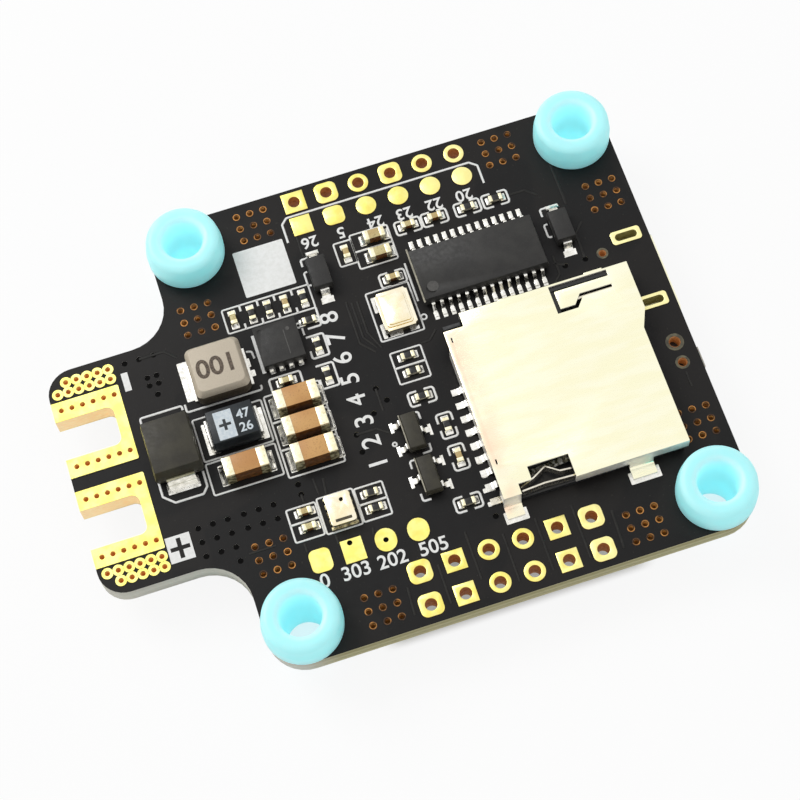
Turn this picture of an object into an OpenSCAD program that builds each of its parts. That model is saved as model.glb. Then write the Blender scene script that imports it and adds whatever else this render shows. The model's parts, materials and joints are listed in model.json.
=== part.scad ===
// Flight controller board of a small multirotor: a square board with a battery tab, standing on
// four soft grommets. The origin is the centre of the hole pattern, on the plane that the grommets
// stand on. +X runs to the edge with the USB socket, +Z is up.

/* [Board] */
// Side of the square main board
board_side = 36; // [35:0.5:42]
// Thickness of the bare board
board_t = 1.6; // [1:0.1:2.4]
// Radius of the main board's corners
board_corner_r = 2.8; // [1:0.1:4]
// How far the battery tab stands out of the main board
tab_reach = 10; // [9:0.5:14]
// Width of the battery tab
tab_w = 18; // [16:0.5:22]
// Radius of the battery tab's outer corners
tab_corner_r = 2; // [0.5:0.1:2]
// Radius where the battery tab runs into the main board
tab_fillet_r = 3.2; // [1:0.1:4]
// Thickness of the gold-plated copper on a pad's face
copper_t = 0.07; // [0.04:0.01:0.15]
// Thickness of the copper that lines a hole or a slot
plating_t = 0.06; // [0.03:0.01:0.1]

/* [Mounting] */
// Distance between the mounting holes, both ways
hole_spacing = 30.5; // [29.5:0.1:30.6]
// Diameter of the mounting holes in the board
mount_hole_d = 4; // [3.8:0.1:4.4]
// Diameter of the grommets' flanges, over the board
flange_d = 5.8; // [5:0.1:6]
// Diameter of the grommets' shoulders, against the board's underside
shoulder_d = 5; // [4.6:0.1:5.6]
// Diameter of the grommets' tapered feet
foot_d = 3.9; // [3.9:0.1:4.5]
// Bore of the grommets, for an M3 screw
grommet_bore_d = 3; // [2.6:0.1:3.2]
// Height of each grommet above the board, and below it
flange_h = 2.6; // [2.6:0.1:4]
// Rounding of the flanges' upper edges
flange_round = 0.5; // [0.2:0.1:0.8]
// Rounding of the bore's upper mouth
mouth_round = 0.25; // [0.1:0.05:0.3]
// Clearance of a grommet's waist in its hole
waist_clear = 0.05; // [0.02:0.01:0.1]

/* [Battery terminals] */
// Width of one battery terminal along the tab's edge
battery_pad_w = 6.1; // [5:0.1:6.4]
// Length of one battery terminal from the tab's edge
battery_pad_len = 5.1; // [4.6:0.1:5.4]
// Distance between the two battery terminals' middles
battery_pad_pitch = 7.2; // [6.6:0.1:7.6]
// Width of the wire slot in each terminal
battery_slot_w = 3.1; // [2:0.1:3.6]
// Depth of the wire slot
battery_slot_len = 4.3; // [3:0.1:4.4]
// Radius of the wire slot's inner corners
battery_slot_r = 0.6; // [0.2:0.1:1]

/* [Solder pads] */
// Pitch of the pad rows
pad_pitch = 2.54; // [2.5:0.02:2.56]
// Diameter of the plated wire holes
wire_hole_d = 0.9; // [0.7:0.05:1]
// Width of a square pad round a wire hole
square_pad = 1.7; // [1.5:0.05:1.8]
// Diameter of a round pad round a wire hole
round_pad = 1.55; // [1.4:0.05:1.7]
// Distance of the back row of holes from the board's edge
back_row_inset = 1.15; // [1:0.05:1.4]
// Distance of the flat back pads from the board's edge
back_pad_inset = 3.2; // [3:0.05:3.4]
// Distance of the outer front row of holes from the board's edge
front_row_inset = 1.35; // [1:0.05:1.5]
// Size of the sensor bus pads along the board
bus_pad_w = 1.55; // [1.2:0.05:1.8]
// Size of the sensor bus pads across the board
bus_pad_d = 1.75; // [1.2:0.05:1.9]
// Side of the power pads under the board
power_pad = 3.6; // [3:0.1:3.8]

/* [Leaded chips] */
// Length of the overlay chip's body
overlay_len = 9.7; // [9.4:0.1:9.8]
// Width of the overlay chip's body
overlay_w = 4.4; // [4:0.1:4.6]
// Height of the overlay chip over the board
overlay_h = 1.15; // [0.9:0.05:1.4]
// Pitch of the overlay chip's leads
overlay_pitch = 0.65; // [0.6:0.01:0.66]
// Distance between the overlay chip's lead tips
overlay_span = 6.4; // [6:0.1:6.6]
// Side of the processor's body
processor_side = 10; // [9.6:0.1:10.4]
// Height of the processor over the board
processor_h = 1.5; // [1.2:0.05:1.7]
// Pitch of the processor's leads
processor_pitch = 0.5; // [0.45:0.01:0.55]
// Distance between the processor's opposite lead tips
processor_span = 12; // [11.6:0.1:12.4]
// Gap between a chip body and the board
standoff = 0.1; // [0.05:0.01:0.15]
// How far a moulded body's faces draw in from its parting line
mould_draft = 0.12; // [0.04:0.01:0.2]

/* [Card slot] */
// Length of the card slot, from its back to its mouth
slot_len = 14.45; // [14:0.05:15]
// Width of the card slot
slot_w = 14.7; // [14.5:0.05:15]
// Height of the card slot over the board
slot_h = 1.9; // [1.8:0.05:2]
// Sheet thickness of the card slot's cover
slot_sheet = 0.15; // [0.1:0.01:0.2]
// How far the cover's mouth steps back over the card
mouth_step = 0.63; // [0.3:0.01:0.9]
// Thickness of the slot base's floor
slot_floor = 0.4; // [0.35:0.05:0.5]
// Pitch of the card contacts
contact_pitch = 1.1; // [1:0.05:1.1]
// Width of a card contact
contact_w = 0.5; // [0.4:0.05:0.6]
// How far the card and the ejector slider travel
eject_travel = 3.5; // [2.5:0.1:3.5]
// Length of the ejector slider
slider_len = 7.3; // [7.3:0.1:7.5]
// Width of the ejector slider
slider_w = 2; // [1.8:0.05:2]
// Clearance round the ejector slider
slider_clear = 0.06; // [0.04:0.01:0.08]
// Diameter of the cam pin's wire
cam_pin_d = 0.3; // [0.25:0.01:0.34]
// Depth of the heart-shaped cam track
cam_depth = 0.45; // [0.35:0.01:0.5]
// Outer diameter of the ejector spring
spring_d = 0.8; // [0.6:0.05:0.8]
// Diameter of the ejector spring's wire
spring_wire = 0.14; // [0.1:0.01:0.16]

/* [USB socket] */
// Width of the USB shell
usb_w = 7.5; // [7.3:0.1:7.7]
// Height of the USB shell
usb_h = 2.4; // [2.3:0.05:2.45]
// Depth of the USB shell
usb_len = 5.4; // [5:0.1:5.8]
// How far the USB shell stands out of the board's edge
usb_proud = 0.5; // [0:0.1:0.8]
// Sheet thickness of the USB shell
usb_sheet = 0.25; // [0.2:0.01:0.3]
// Place of the USB socket's middle along the board's edge
usb_y = 3.15; // [3:0.05:3.3]
// Distance between the USB shell's legs
usb_leg_pitch = 5.7; // [5.4:0.1:5.9]

/* [Boot button] */
// Width of the boot button's housing along the board's edge
button_w = 4.4; // [4:0.1:4.8]
// Depth of the boot button's housing
button_len = 2.8; // [2.6:0.1:3.2]
// Height of the boot button's housing
button_h = 1.9; // [1.7:0.05:2.2]
// Width of the boot button's plunger
plunger_w = 1.7; // [1.4:0.1:2]
// Height of the boot button's plunger
plunger_h = 0.9; // [0.7:0.05:1]
// How far the plunger stands out of its housing
plunger_proud = 0.7; // [0.6:0.05:1]
// How far the plunger travels when it is pressed
plunger_travel = 0.25; // [0.15:0.01:0.35]
// Clearance round the plunger
plunger_clear = 0.06; // [0.04:0.01:0.1]

/* [Power parts] */
// Side of the inductor
inductor_side = 4.1; // [3.9:0.1:4.2]
// Height of the inductor
inductor_h = 2; // [1.6:0.1:2.4]
// Width of the surge diode's body
surge_w = 3.6; // [3.3:0.1:3.6]
// Length of the surge diode's body
surge_len = 4.3; // [4:0.1:4.6]
// Height of the surge diode
surge_h = 2.2; // [1.9:0.1:2.4]
// Length of the tantalum capacitor
tantalum_len = 3.5; // [3.3:0.1:3.7]
// Width of the tantalum capacitor
tantalum_w = 2.7; // [2.4:0.1:2.8]
// Height of the tantalum capacitor
tantalum_h = 1.9; // [1.5:0.1:2.1]
// Side of the buck converter chip
buck_side = 3.2; // [3:0.1:3.3]
// Height of the buck converter chip
buck_h = 0.95; // [0.8:0.05:1.1]

/* [Chip parts] */
// Length of a large ceramic capacitor
large_cap_len = 3.2; // [3:0.1:3.3]
// Width of a large ceramic capacitor
large_cap_w = 1.6; // [1.4:0.05:1.7]
// Height of a large ceramic capacitor
large_cap_h = 1.55; // [1.2:0.05:1.7]
// Length of a middle ceramic capacitor
middle_cap_len = 1.6; // [1.5:0.05:1.7]
// Width and height of a middle ceramic capacitor
middle_cap_w = 0.8; // [0.7:0.05:0.9]
// Length of a small chip part
chip_len = 1; // [0.9:0.05:1.1]
// Width of a small chip part
chip_w = 0.5; // [0.4:0.05:0.6]
// Height of a small chip resistor
resistor_h = 0.35; // [0.3:0.01:0.4]
// Thickness of a chip part's metal ends
end_t = 0.03; // [0.02:0.01:0.05]

/* [Hidden] */
$fn = 32;
eps = 0.01;
bottom_z = flange_h;
top_z = flange_h + board_t;
shoulder_h = 0.5;
foot_edge = 0.15;
edge = board_side / 2;
tab_edge = -edge - tab_reach;
hole_xy = hole_spacing / 2;
row_x0 = -2.5 * pad_pitch;
back_row_y = edge - back_row_inset;
back_pad_y = edge - back_pad_inset;
front_row_y = -edge + front_row_inset;
barrel_d = wire_hole_d + 2 * plating_t;
left_x = tab_edge + battery_pad_len;

// Rows across the board, from the front pads to the flat back pads: the card slot with its legs, the
// overlay chip, and a row of chip parts. What they leave free is shared out between them.
leg_reach = 0.9;
front_pads_y = front_row_y + pad_pitch + round_pad / 2;
back_pads_y = back_pad_y - round_pad / 2;
free_y = back_pads_y - front_pads_y - slot_w - 2 * leg_reach - overlay_span - chip_w;
gap_shares = [0.221, 0.0405, 0.3155];
slot_y = front_pads_y + gap_shares[0] * free_y + leg_reach;
overlay_y = slot_y + slot_w + leg_reach + gap_shares[1] * free_y + overlay_span / 2;
chip_row_y = overlay_y + overlay_span / 2 + gap_shares[2] * free_y + chip_w / 2;

// Card slot, in its own frame: its back at x = 0, its outer side at y = 0
mouth_inset = 2.82;
slot_x = edge - mouth_inset - slot_len;
cover_under = slot_h - slot_sheet;
window_x0 = 1.33;
window_x1 = 5.37;
window_y0 = 0.79;
window_y1 = 1.82;
tongue_x1 = slot_len - 1.65;
tongue_x0 = tongue_x1 - 4.16;
slit = 0.3;
skirt = 0.9;
wall_gap = slot_sheet + 0.05;
corner_x = 1.53;
corner_y = slot_w - 1.09;
front_legs = [[0.65, 1.3], [slot_len - 4.15, 1.8]];
back_legs = [5.5, slot_len - 2.25];
back_leg_w = 1.4;
back_wall = 1.2;
rail_w = 0.5;
groove_z = 0.15;
detect_y = 0.6;
blade_t = 0.12;
blade_z = [0.5, 1.3];
contact_t = 0.12;
contact_tail = 0.75;
contact_tip = [5.4, 1];
channel_y1 = slot_w - slot_sheet - 0.35;
slider_y = channel_y1 - slider_clear - slider_w / 2;
slider_z0 = slot_floor + slider_clear;
pin_gap = 0.03;
slider_h = cover_under - pin_gap - slider_z0;
track_top = cover_under - 2 * pin_gap - cam_pin_d;
slider_stop_x = slot_len - 1.39;
slider_x1 = slider_stop_x - slider_clear;
slider_x0 = slider_x1 - slider_len;
slider_arm = 1.5;
slider_arm_t = 0.8;
rib_t = 0.2;
rib_h = 1.2;
stop_h = 1.1;
first_contact_y = 9.56;
cam_pivot_x = slot_len - 1;
cam_end_x = cam_pivot_x - 4.45;
cam_swing = 0.5;
cam_lane = cam_pin_d + 0.14;
spring_x0 = back_wall;
spring_seat = 1.8;
spring_len = slider_x0 + spring_seat - spring_x0;
spring_turns = 8;
spring_r = (spring_d - spring_wire) / 2;
spring_z = slider_z0 + slider_h / 2;
track_x0 = cam_end_x - cam_lane / 2;

// USB socket and boot button, at the board's right edge
usb_x1 = edge + usb_proud;
usb_x0 = usb_x1 - usb_len;
usb_leg_x = edge - 1.7;
usb_slot_len = 1.7;
usb_slot_w = 0.6;
usb_gap = 0.02;
usb_corner = 0.9;
usb_back = 1.2;
usb_tongue_w = 3.7;
usb_contact_pitch = 0.65;
usb_contact_w = 0.22;
button_y = -4.2;
button_x1 = edge - 0.1;
button_x0 = button_x1 - button_len;
button_wall = 0.35;
button_sheet = 0.12;
button_head_t = 0.5;
button_head_w = plunger_w + 0.8;
plunger_z = button_h / 2;
peg_pitch = 1.7;
peg_x = edge - 1.5;
peg_d = [0.9, 0.7];
peg_clear = 0.05;

// Chips: sizes that go with their cases
lead_t = 0.15;
overlay_lead_w = 0.26;
overlay_lead_z = overlay_h / 2 - lead_t / 2 + standoff / 2;
processor_lead_w = 0.22;
processor_lead_z = processor_h / 2;
dimple_depth = 0.06;
crystal_w = 2.5;
crystal_d = 3.2;
crystal_h = 0.55;
strap_t = 0.15;
strap_w = 2.1;
strap_z = 0.9;
coat_t = 0.04;
small_lead_t = 0.12;
small_lead_w = 0.42;
small_foot = 0.35;
small_reach = 0.6;
outer_pitch = 1.9;
diode_w = 1.5;
diode_len = 2.6;
diode_h = 1.15;
transistor_w = 1.3;
transistor_len = 2.9;
transistor_h = 1.05;
regulator_w = 1.6;
baro_w = 2;
baro_d = 2.5;
baro_h = 0.95;
baro_base_h = 0.3;
shunt_len = 4.3;
shunt_w = 3.2;
shunt_h = 0.6;
light_w = 1.6;
light_d = 0.8;

// Places on the board: x, y and, where it matters, the angle of the long axis. Parts on the right and along
// the back keep their distance from the card slot, and those on the left from the battery terminals.
bus_pitch = 2.4;
bus_x0 = -12.7;
bus_to_row = 3.01;
bus_to_grommet = 1.25;
bus_y = max(front_row_y + pad_pitch + bus_to_row, flange_d / 2 - hole_xy + bus_to_grommet);
baro_y = bus_y + 3;
overlay_at = [slot_x + 4.42, overlay_y];
crystal_at = [slot_x - 2.53, 5.6];
surge_at = [left_x + 2.5, 0.1];
inductor_at = [left_x + 7.3, 4.9];
tantalum_at = [left_x + 7.15, 0.3];
buck_at = [left_x + 12.15, 5.7];
barometer_at = [-10.3, baro_y];
processor_at = [0.5, -1.5];
motion_at = [-10.2, 2.4];
clock_at = [-9.6, -3.4];
shunt_at = [-19.2, 3.4];
large_caps = [[left_x + 7.2, -2.75], for (i = [0:2]) [left_x + 12.15, 1.05 - i * 2.18]];
middle_caps = [for (dy = [0.1, 1.6]) [slot_x - 2.23, chip_row_y - dy]];
small_caps = [
    [slot_x - 14.13, 8.9, 90], [slot_x - 10.13, 8.9, 90], [slot_x - 4.63, chip_row_y - 0.7, 90],
    [slot_x + 0.47, chip_row_y, 0], [slot_x + 2.57, chip_row_y, 0], [slot_x - 1.93, 8.3, 0],
    [slot_x - 1.78, -6.8, 90], [left_x + 11.8, 2.85, 0], [-12.75, baro_y + 0.8, 0], [-12.75, baro_y - 0.4, 0]
];
small_resistors = [
    [slot_x - 12.73, 8.9, 90], [slot_x - 11.43, 8.9, 90], [slot_x - 8.73, 8.9, 90],
    [slot_x + 5.17, chip_row_y, 0], [slot_x + 7.37, chip_row_y, 0], [slot_x - 2.83, 1.9, 0],
    [slot_x - 2.83, 0.6, 0], [slot_x - 2.83, -1.5, 0], [slot_x - 1.83, -4.2, 90], [slot_x - 2.23, -10.3, 0],
    [left_x + 14.8, 7, 0], [left_x + 14.8, 4.85, 90], [left_x + 14.8, 2.35, 90],
    [-7.85, baro_y + 0.7, 0], [-7.85, baro_y - 0.5, 0]
];
under_caps = [
    [8.5, -1.5, 90], [8.5, -4, 90], [-7.2, -7.5, 90], [-7.2, -0.5, 90], [-3.5, 6.4, 0],
    [0.5, 6.4, 0], [4.5, 6.4, 0], [-3.5, -9.4, 0], [4.5, -9.4, 0], [-13.4, 2.4, 90]
];
under_resistors = [
    [-12.4, -3.4, 90], [-12.4, -6, 90], [0.5, -9.4, 0], [8.5, -6.5, 90], [9.8, 8.9, 0],
    [7.3, 8.9, 0], [-16.5, 3.4, 90]
];
lights_y = front_row_y + pad_pitch + 2.11;
light_places = [for (x = [8.5, 5.9, 3.3]) [x, lights_y]];
transistors = [[slot_x - 4.38, -4.1, 0], [slot_x - 4.28, -7.6, 180]];
small_diodes = [[slot_x - 7.03, 10.2], [slot_x + 11.17, 8]];
regulators = [[-10.5, 9.6], [-4.5, 10.8], [-15.2, -3]];

// Placing

module on_top(at = [0, 0]) translate([at[0], at[1], top_z]) children();

module underneath(at = [0, 0]) translate([at[0], at[1], bottom_z]) mirror([0, 0, 1]) children();

module on_slot() translate([slot_x, slot_y, top_z]) children();

module both_ends() for (side = [0, 180]) rotate(side) children();

// Common shapes

module round_rect(w, d, r) {
    square([w - 2 * r, d], center = true);
    square([w, d - 2 * r], center = true);
    for (x = [-1, 1], y = [-1, 1]) translate([x * (w / 2 - r), y * (d / 2 - r)]) circle(r);
}

module box(w, d, h) translate([-w / 2, -d / 2, 0]) cube([w, d, h]);

// Points of a bend at b between a and c, from an arc that starts cut away from the corner
function bend(a, b, c, cut, n = 3) =
    let (p = b + cut * (a - b) / norm(a - b), q = b + cut * (c - b) / norm(c - b))
    [for (k = [0:n]) let (s = k / n) (1 - s) * (1 - s) * p + 2 * s * (1 - s) * b + s * s * q];

// Gull-wing lead from the side: out of the body at height rise, down, and out along the board
function gull(reach, foot, rise, t) =
    let (neck = 0.3 * (reach - foot), knee = reach - foot)
    concat(
        [[0, rise + t]],
        bend([0, rise + t], [neck + t / 2, rise + t], [knee + t / 2, t], t / 2),
        bend([neck + t / 2, rise + t], [knee + t / 2, t], [reach, t], t / 3),
        [[reach, t], [reach, 0]],
        bend([reach, 0], [knee - t / 2, 0], [neck - t / 2, rise], t / 2),
        bend([knee - t / 2, 0], [neck - t / 2, rise], [0, rise], t / 6),
        [[0, rise]]
    );

module gull_lead(width, reach, foot, rise, t)
    rotate([90, 0, 0]) translate([0, 0, -width / 2]) linear_extrude(width) polygon(gull(reach, foot, rise, t));

// Row of gull-wing leads on one side of a body, which is half_w from the middle
module lead_row(count, pitch, half_w, width, reach, foot, rise, t)
    for (i = [0:count - 1]) translate([half_w, (i - (count - 1) / 2) * pitch, 0])
        gull_lead(width, reach, foot, rise, t);

// Moulded body, widest in a flat band where the leads come out
module moulded_body(w, d, h, low, band_z, band_t, draft) hull() {
    translate([0, 0, low]) box(w - 2 * draft, d - 2 * draft, eps);
    translate([0, 0, band_z]) box(w, d, band_t);
    translate([0, 0, h - eps]) box(w - 2 * draft, d - 2 * draft, eps);
}

// Body and metal ends of a chip part that lies along x
module chip_core(len, w, h) translate([0, 0, end_t]) box(len - 2 * end_t, w - 2 * end_t, h - 2 * end_t);

module chip_ends(len, w, h, band) difference() {
    both_ends() translate([len / 2 - band, 0, h / 2]) rotate([0, 90, 0])
        linear_extrude(band) round_rect(h, w, min(w, h) / 10);
    chip_core(len, w, h);
}

// Board

module board_plan() difference() {
    union() {
        round_rect(board_side, board_side, board_corner_r);
        translate([tab_edge + tab_reach, 0])
            round_rect(2 * tab_reach, tab_w, tab_corner_r);
        for (side = [-1, 1]) translate([-edge - tab_fillet_r, side * tab_w / 2 - (side < 0 ? tab_fillet_r : 0)])
            square([tab_fillet_r + eps, tab_fillet_r]);
    }
    for (side = [-1, 1]) translate([-edge - tab_fillet_r, side * (tab_w / 2 + tab_fillet_r)])
        circle(tab_fillet_r, $fn = 64);
}

// Wire slot of a battery terminal, with room added all round for the plating
module battery_slot_plan(extra) {
    depth = battery_slot_len + extra;
    w = battery_slot_w + 2 * extra;
    r = battery_slot_r + extra;
    translate([tab_edge - 1, -w / 2]) square([depth + 1 - r, w]);
    translate([tab_edge, -w / 2 + r]) square([depth, w - 2 * r]);
    for (side = [-1, 1]) translate([tab_edge + depth - r, side * (w / 2 - r)]) circle(r);
}

module battery_pad_plan() difference() {
    translate([tab_edge, -battery_pad_w / 2]) square([battery_pad_len, battery_pad_w]);
    battery_slot_plan(0);
}

module battery_lining_plan() difference() {
    battery_pad_plan();
    difference() {
        translate([tab_edge + plating_t, -battery_pad_w / 2 - 1]) square([battery_pad_len, battery_pad_w + 2]);
        battery_slot_plan(plating_t);
    }
}

module at_battery_pads() for (side = [-1, 1]) translate([0, side * battery_pad_pitch / 2]) children();

// Holes that take the linings of the wire holes, or the parts' legs and pegs
module board_holes() {
    for (x = [-1, 1], y = [-1, 1]) translate([x * hole_xy, y * hole_xy]) circle(d = mount_hole_d, $fn = 64);
    for (i = [0:5]) {
        translate([row_x0 + i * pad_pitch, back_row_y]) circle(d = barrel_d);
        for (row = [0, 1])
            translate([row_x0 + i * pad_pitch, front_row_y + row * pad_pitch]) circle(d = barrel_d);
    }
    for (side = [-1, 1]) translate([usb_leg_x, usb_y + side * usb_leg_pitch / 2])
        slot_plan(usb_slot_len + 2 * plating_t, usb_slot_w + 2 * plating_t);
    for (k = [0, 1]) translate([peg_x, button_y + (0.5 - k) * peg_pitch]) circle(d = peg_d[k] + 2 * peg_clear);
}

module slot_plan(len, w) {
    square([len - w, w], center = true);
    for (side = [-1, 1]) translate([side * (len - w) / 2, 0]) circle(d = w);
}

module circuit_board() color([0.13, 0.13, 0.13]) translate([0, 0, bottom_z])
    linear_extrude(board_t) difference() {
        board_plan();
        board_holes();
        at_battery_pads() battery_slot_plan(0);
        at_battery_pads() battery_lining_plan();
    }

module battery_terminals() color([0.93, 0.85, 0.55]) at_battery_pads() {
    translate([0, 0, bottom_z]) linear_extrude(board_t) battery_lining_plan();
    for (z = [bottom_z - copper_t, top_z]) translate([0, 0, z]) linear_extrude(copper_t) battery_pad_plan();
}

// Pad faces on both sides of the board, joined by the lining of the hole
module eyelet(hole_d) difference() {
    union() {
        for (z = [bottom_z - copper_t, top_z]) translate([0, 0, z]) linear_extrude(copper_t) children();
        translate([0, 0, bottom_z]) cylinder(h = board_t, d = hole_d + 2 * plating_t);
    }
    translate([0, 0, bottom_z - 1]) cylinder(h = board_t + 2, d = hole_d);
}

// Pad outlines: 0 square, 1 square with round corners, 2 round
module pad_plan(form, w, d) {
    if (form == 0) square([w, d], center = true);
    if (form == 1) round_rect(w, d, w / 3.5);
    if (form == 2) long_round(w, d);
}

module long_round(w, d) {
    circle(d = w);
    if (d > w) for (side = [-1, 1]) translate([0, side * (d - w) / 2]) circle(d = w);
    if (d > w) square([w, d - w], center = true);
}

module back_row_pads() color([0.93, 0.85, 0.55]) for (i = [0:5]) {
    form = i == 2 ? 2 : min(i < 3 ? i : i - 2, 2);
    flat_form = min(i, 2);
    size = form < 2 ? square_pad : round_pad;
    translate([row_x0 + i * pad_pitch, back_row_y, 0]) eyelet(wire_hole_d) pad_plan(form, size, size);
    on_top([row_x0 + i * pad_pitch, back_pad_y]) linear_extrude(copper_t)
        pad_plan(flat_form, round_pad, round_pad);
}

module front_header_pads() color([0.93, 0.85, 0.55]) for (i = [0:5], row = [0, 1]) {
    form = [1, 0, 2, 2, 0, 1][i];
    size = form == 1 ? square_pad : round_pad;
    translate([row_x0 + i * pad_pitch, front_row_y + row * pad_pitch, 0])
        eyelet(wire_hole_d) pad_plan(form, size, size);
}

module sensor_bus_pads() color([0.93, 0.85, 0.55]) for (i = [0:3])
    on_top([bus_x0 + i * bus_pitch, bus_y]) linear_extrude(copper_t)
        pad_plan([1, 0, 2, 2][i], bus_pad_w, bus_pad_d);

module usb_slot_pads() color([0.93, 0.85, 0.55]) for (side = [-1, 1])
    translate([usb_leg_x, usb_y + side * usb_leg_pitch / 2, 0]) difference() {
        union() {
            for (z = [bottom_z - copper_t, top_z]) translate([0, 0, z]) linear_extrude(copper_t)
                round_rect(usb_slot_len + 0.6, usb_slot_w + 0.5, 0.25);
            translate([0, 0, bottom_z]) linear_extrude(board_t)
                slot_plan(usb_slot_len + 2 * plating_t, usb_slot_w + 2 * plating_t);
        }
        translate([0, 0, bottom_z - 1]) linear_extrude(board_t + 2) slot_plan(usb_slot_len, usb_slot_w);
    }

// Power pads for the four motor controllers, one pair beside each mounting hole
module power_pads() color([0.93, 0.85, 0.55]) for (x = [-1, 1], y = [-1, 1]) {
    underneath([x * 9.75, y * (edge - 0.2 - power_pad / 2)]) linear_extrude(copper_t)
        round_rect(power_pad, power_pad, 0.3);
    underneath([x * (edge - 0.2 - power_pad / 2), y * 9.75]) linear_extrude(copper_t)
        round_rect(power_pad, power_pad, 0.3);
}

// Grommet: one revolved profile. A flange over the board, a waist that fills the hole and, under the
// board, a shoulder that tapers to the foot, so that the grommet can be pulled up through the hole
module grommet_profile() {
    waist_r = mount_hole_d / 2 - waist_clear;
    height = top_z + flange_h;
    bore_r = grommet_bore_d / 2;
    flange_r = flange_d / 2;
    rim_r = flange_r - flange_round;
    shoulder_r = shoulder_d / 2;
    foot_r = foot_d / 2;
    difference() {
        union() {
            translate([bore_r, bottom_z]) square([waist_r - bore_r, height - bottom_z]);
            translate([bore_r, top_z]) {
                square([rim_r - bore_r, flange_h]);
                square([flange_r - bore_r, flange_h - flange_round]);
            }
            translate([rim_r, height - flange_round]) circle(flange_round);
            polygon([
                [bore_r, 0], [foot_r - foot_edge, 0], [foot_r, foot_edge],
                [shoulder_r, bottom_z - shoulder_h], [shoulder_r, bottom_z], [bore_r, bottom_z]
            ]);
        }
        translate([bore_r - eps, height - mouth_round]) difference() {
            square(mouth_round + eps);
            translate([mouth_round + eps, 0]) circle(mouth_round);
        }
    }
}

module grommet(x, y) color([0.6, 0.93, 0.98]) translate([x * hole_xy, y * hole_xy, 0])
    rotate_extrude($fn = 64) grommet_profile();

module grommet_front_left() grommet(-1, -1);
module grommet_front_right() grommet(1, -1);
module grommet_back_left() grommet(-1, 1);
module grommet_back_right() grommet(1, 1);

// Overlay chip

module overlay_chip_body() color([0.17, 0.17, 0.17]) on_top(overlay_at) difference() {
    moulded_body(overlay_len, overlay_w, overlay_h, standoff, overlay_lead_z, lead_t, mould_draft);
    translate([0.8 - overlay_len / 2, 0.8 - overlay_w / 2, overlay_h - dimple_depth]) cylinder(h = 1, d = 0.75);
}

module overlay_chip_leads() color([0.85, 0.85, 0.83]) on_top(overlay_at) both_ends() rotate(90)
    lead_row(14, overlay_pitch, overlay_w / 2, overlay_lead_w, (overlay_span - overlay_w) / 2, 0.55,
        overlay_lead_z, lead_t);

// Crystals: a ceramic tray with notched corners, closed by a metal lid

module crystal_tray(w, d, h) difference() {
    box(w, d, h);
    for (x = [-1, 1], y = [-1, 1]) translate([x * w / 2, y * d / 2, -1]) cylinder(h = h + 2, r = 0.2);
    translate([0, 0, h - 0.3]) linear_extrude(1) round_rect(w - 0.9, d - 0.9, 0.2);
}

module crystal_cap(w, d, h) {
    translate([0, 0, h]) linear_extrude(0.08) round_rect(w - 0.5, d - 0.5, 0.25);
    translate([0, 0, h + 0.08]) linear_extrude(0.1) round_rect(w - 0.8, d - 0.8, 0.2);
}

module crystal_base() color([0.78, 0.7, 0.45]) on_top(crystal_at) crystal_tray(crystal_w, crystal_d, crystal_h);
module crystal_lid() color([0.92, 0.87, 0.7]) on_top(crystal_at) crystal_cap(crystal_w, crystal_d, crystal_h);
module clock_crystal_base() color([0.78, 0.7, 0.45]) underneath(clock_at)
    crystal_tray(crystal_w, crystal_d, crystal_h);
module clock_crystal_lid() color([0.92, 0.87, 0.7]) underneath(clock_at)
    crystal_cap(crystal_w, crystal_d, crystal_h);

// Card slot

module cover_plan() polygon([
    [0, 0], [slot_len - mouth_step, 0], [slot_len - mouth_step, slot_w - 5.43],
    [slot_len, slot_w - 3.94], [slot_len, slot_w], [corner_x, slot_w], [corner_x, corner_y],
    [0, corner_y]
]);

// Cut in the cover that frees the tongue over the cam pin
module tongue_cut() {
    low = slot_w - 2.4;
    jog = 0.75;
    jog_x = tongue_x0 + 1.26;
    polygon([
        [tongue_x0 - slit, low], [jog_x, low], [jog_x + 0.6, low + jog], [tongue_x1, low + jog],
        [tongue_x1, low + jog + slit], [jog_x + 0.46, low + jog + slit], [jog_x - 0.13, low + slit],
        [tongue_x0, low + slit], [tongue_x0, slot_w - 0.65], [tongue_x1, slot_w - 0.65],
        [tongue_x1, slot_w - slot_sheet], [tongue_x0 - slit, slot_w - slot_sheet]
    ]);
}

module detect_window() {
    step = 1;
    translate([window_x0 + step, window_y0]) square([window_x1 - window_x0 - step, window_y1 - window_y0]);
    translate([window_x0, -1]) square([window_x1 - window_x0, 1 + window_y0 + eps]);
}

// Solder tab of the cover: down its side and out along the board
module cover_leg(w, drop) rotate([90, 0, 90]) translate([0, 0, -w / 2]) linear_extrude(w)
    polygon(concat(
        [[0, drop], [0, 0.6]],
        bend([0, 0.6], [0, slot_sheet], [-leg_reach, slot_sheet], 0.2),
        [[-leg_reach, slot_sheet], [-leg_reach, 0]],
        bend([-leg_reach, 0], [slot_sheet, 0], [slot_sheet, 0.6], 0.3),
        [[slot_sheet, 0.6], [slot_sheet, drop]]
    ));

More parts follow.
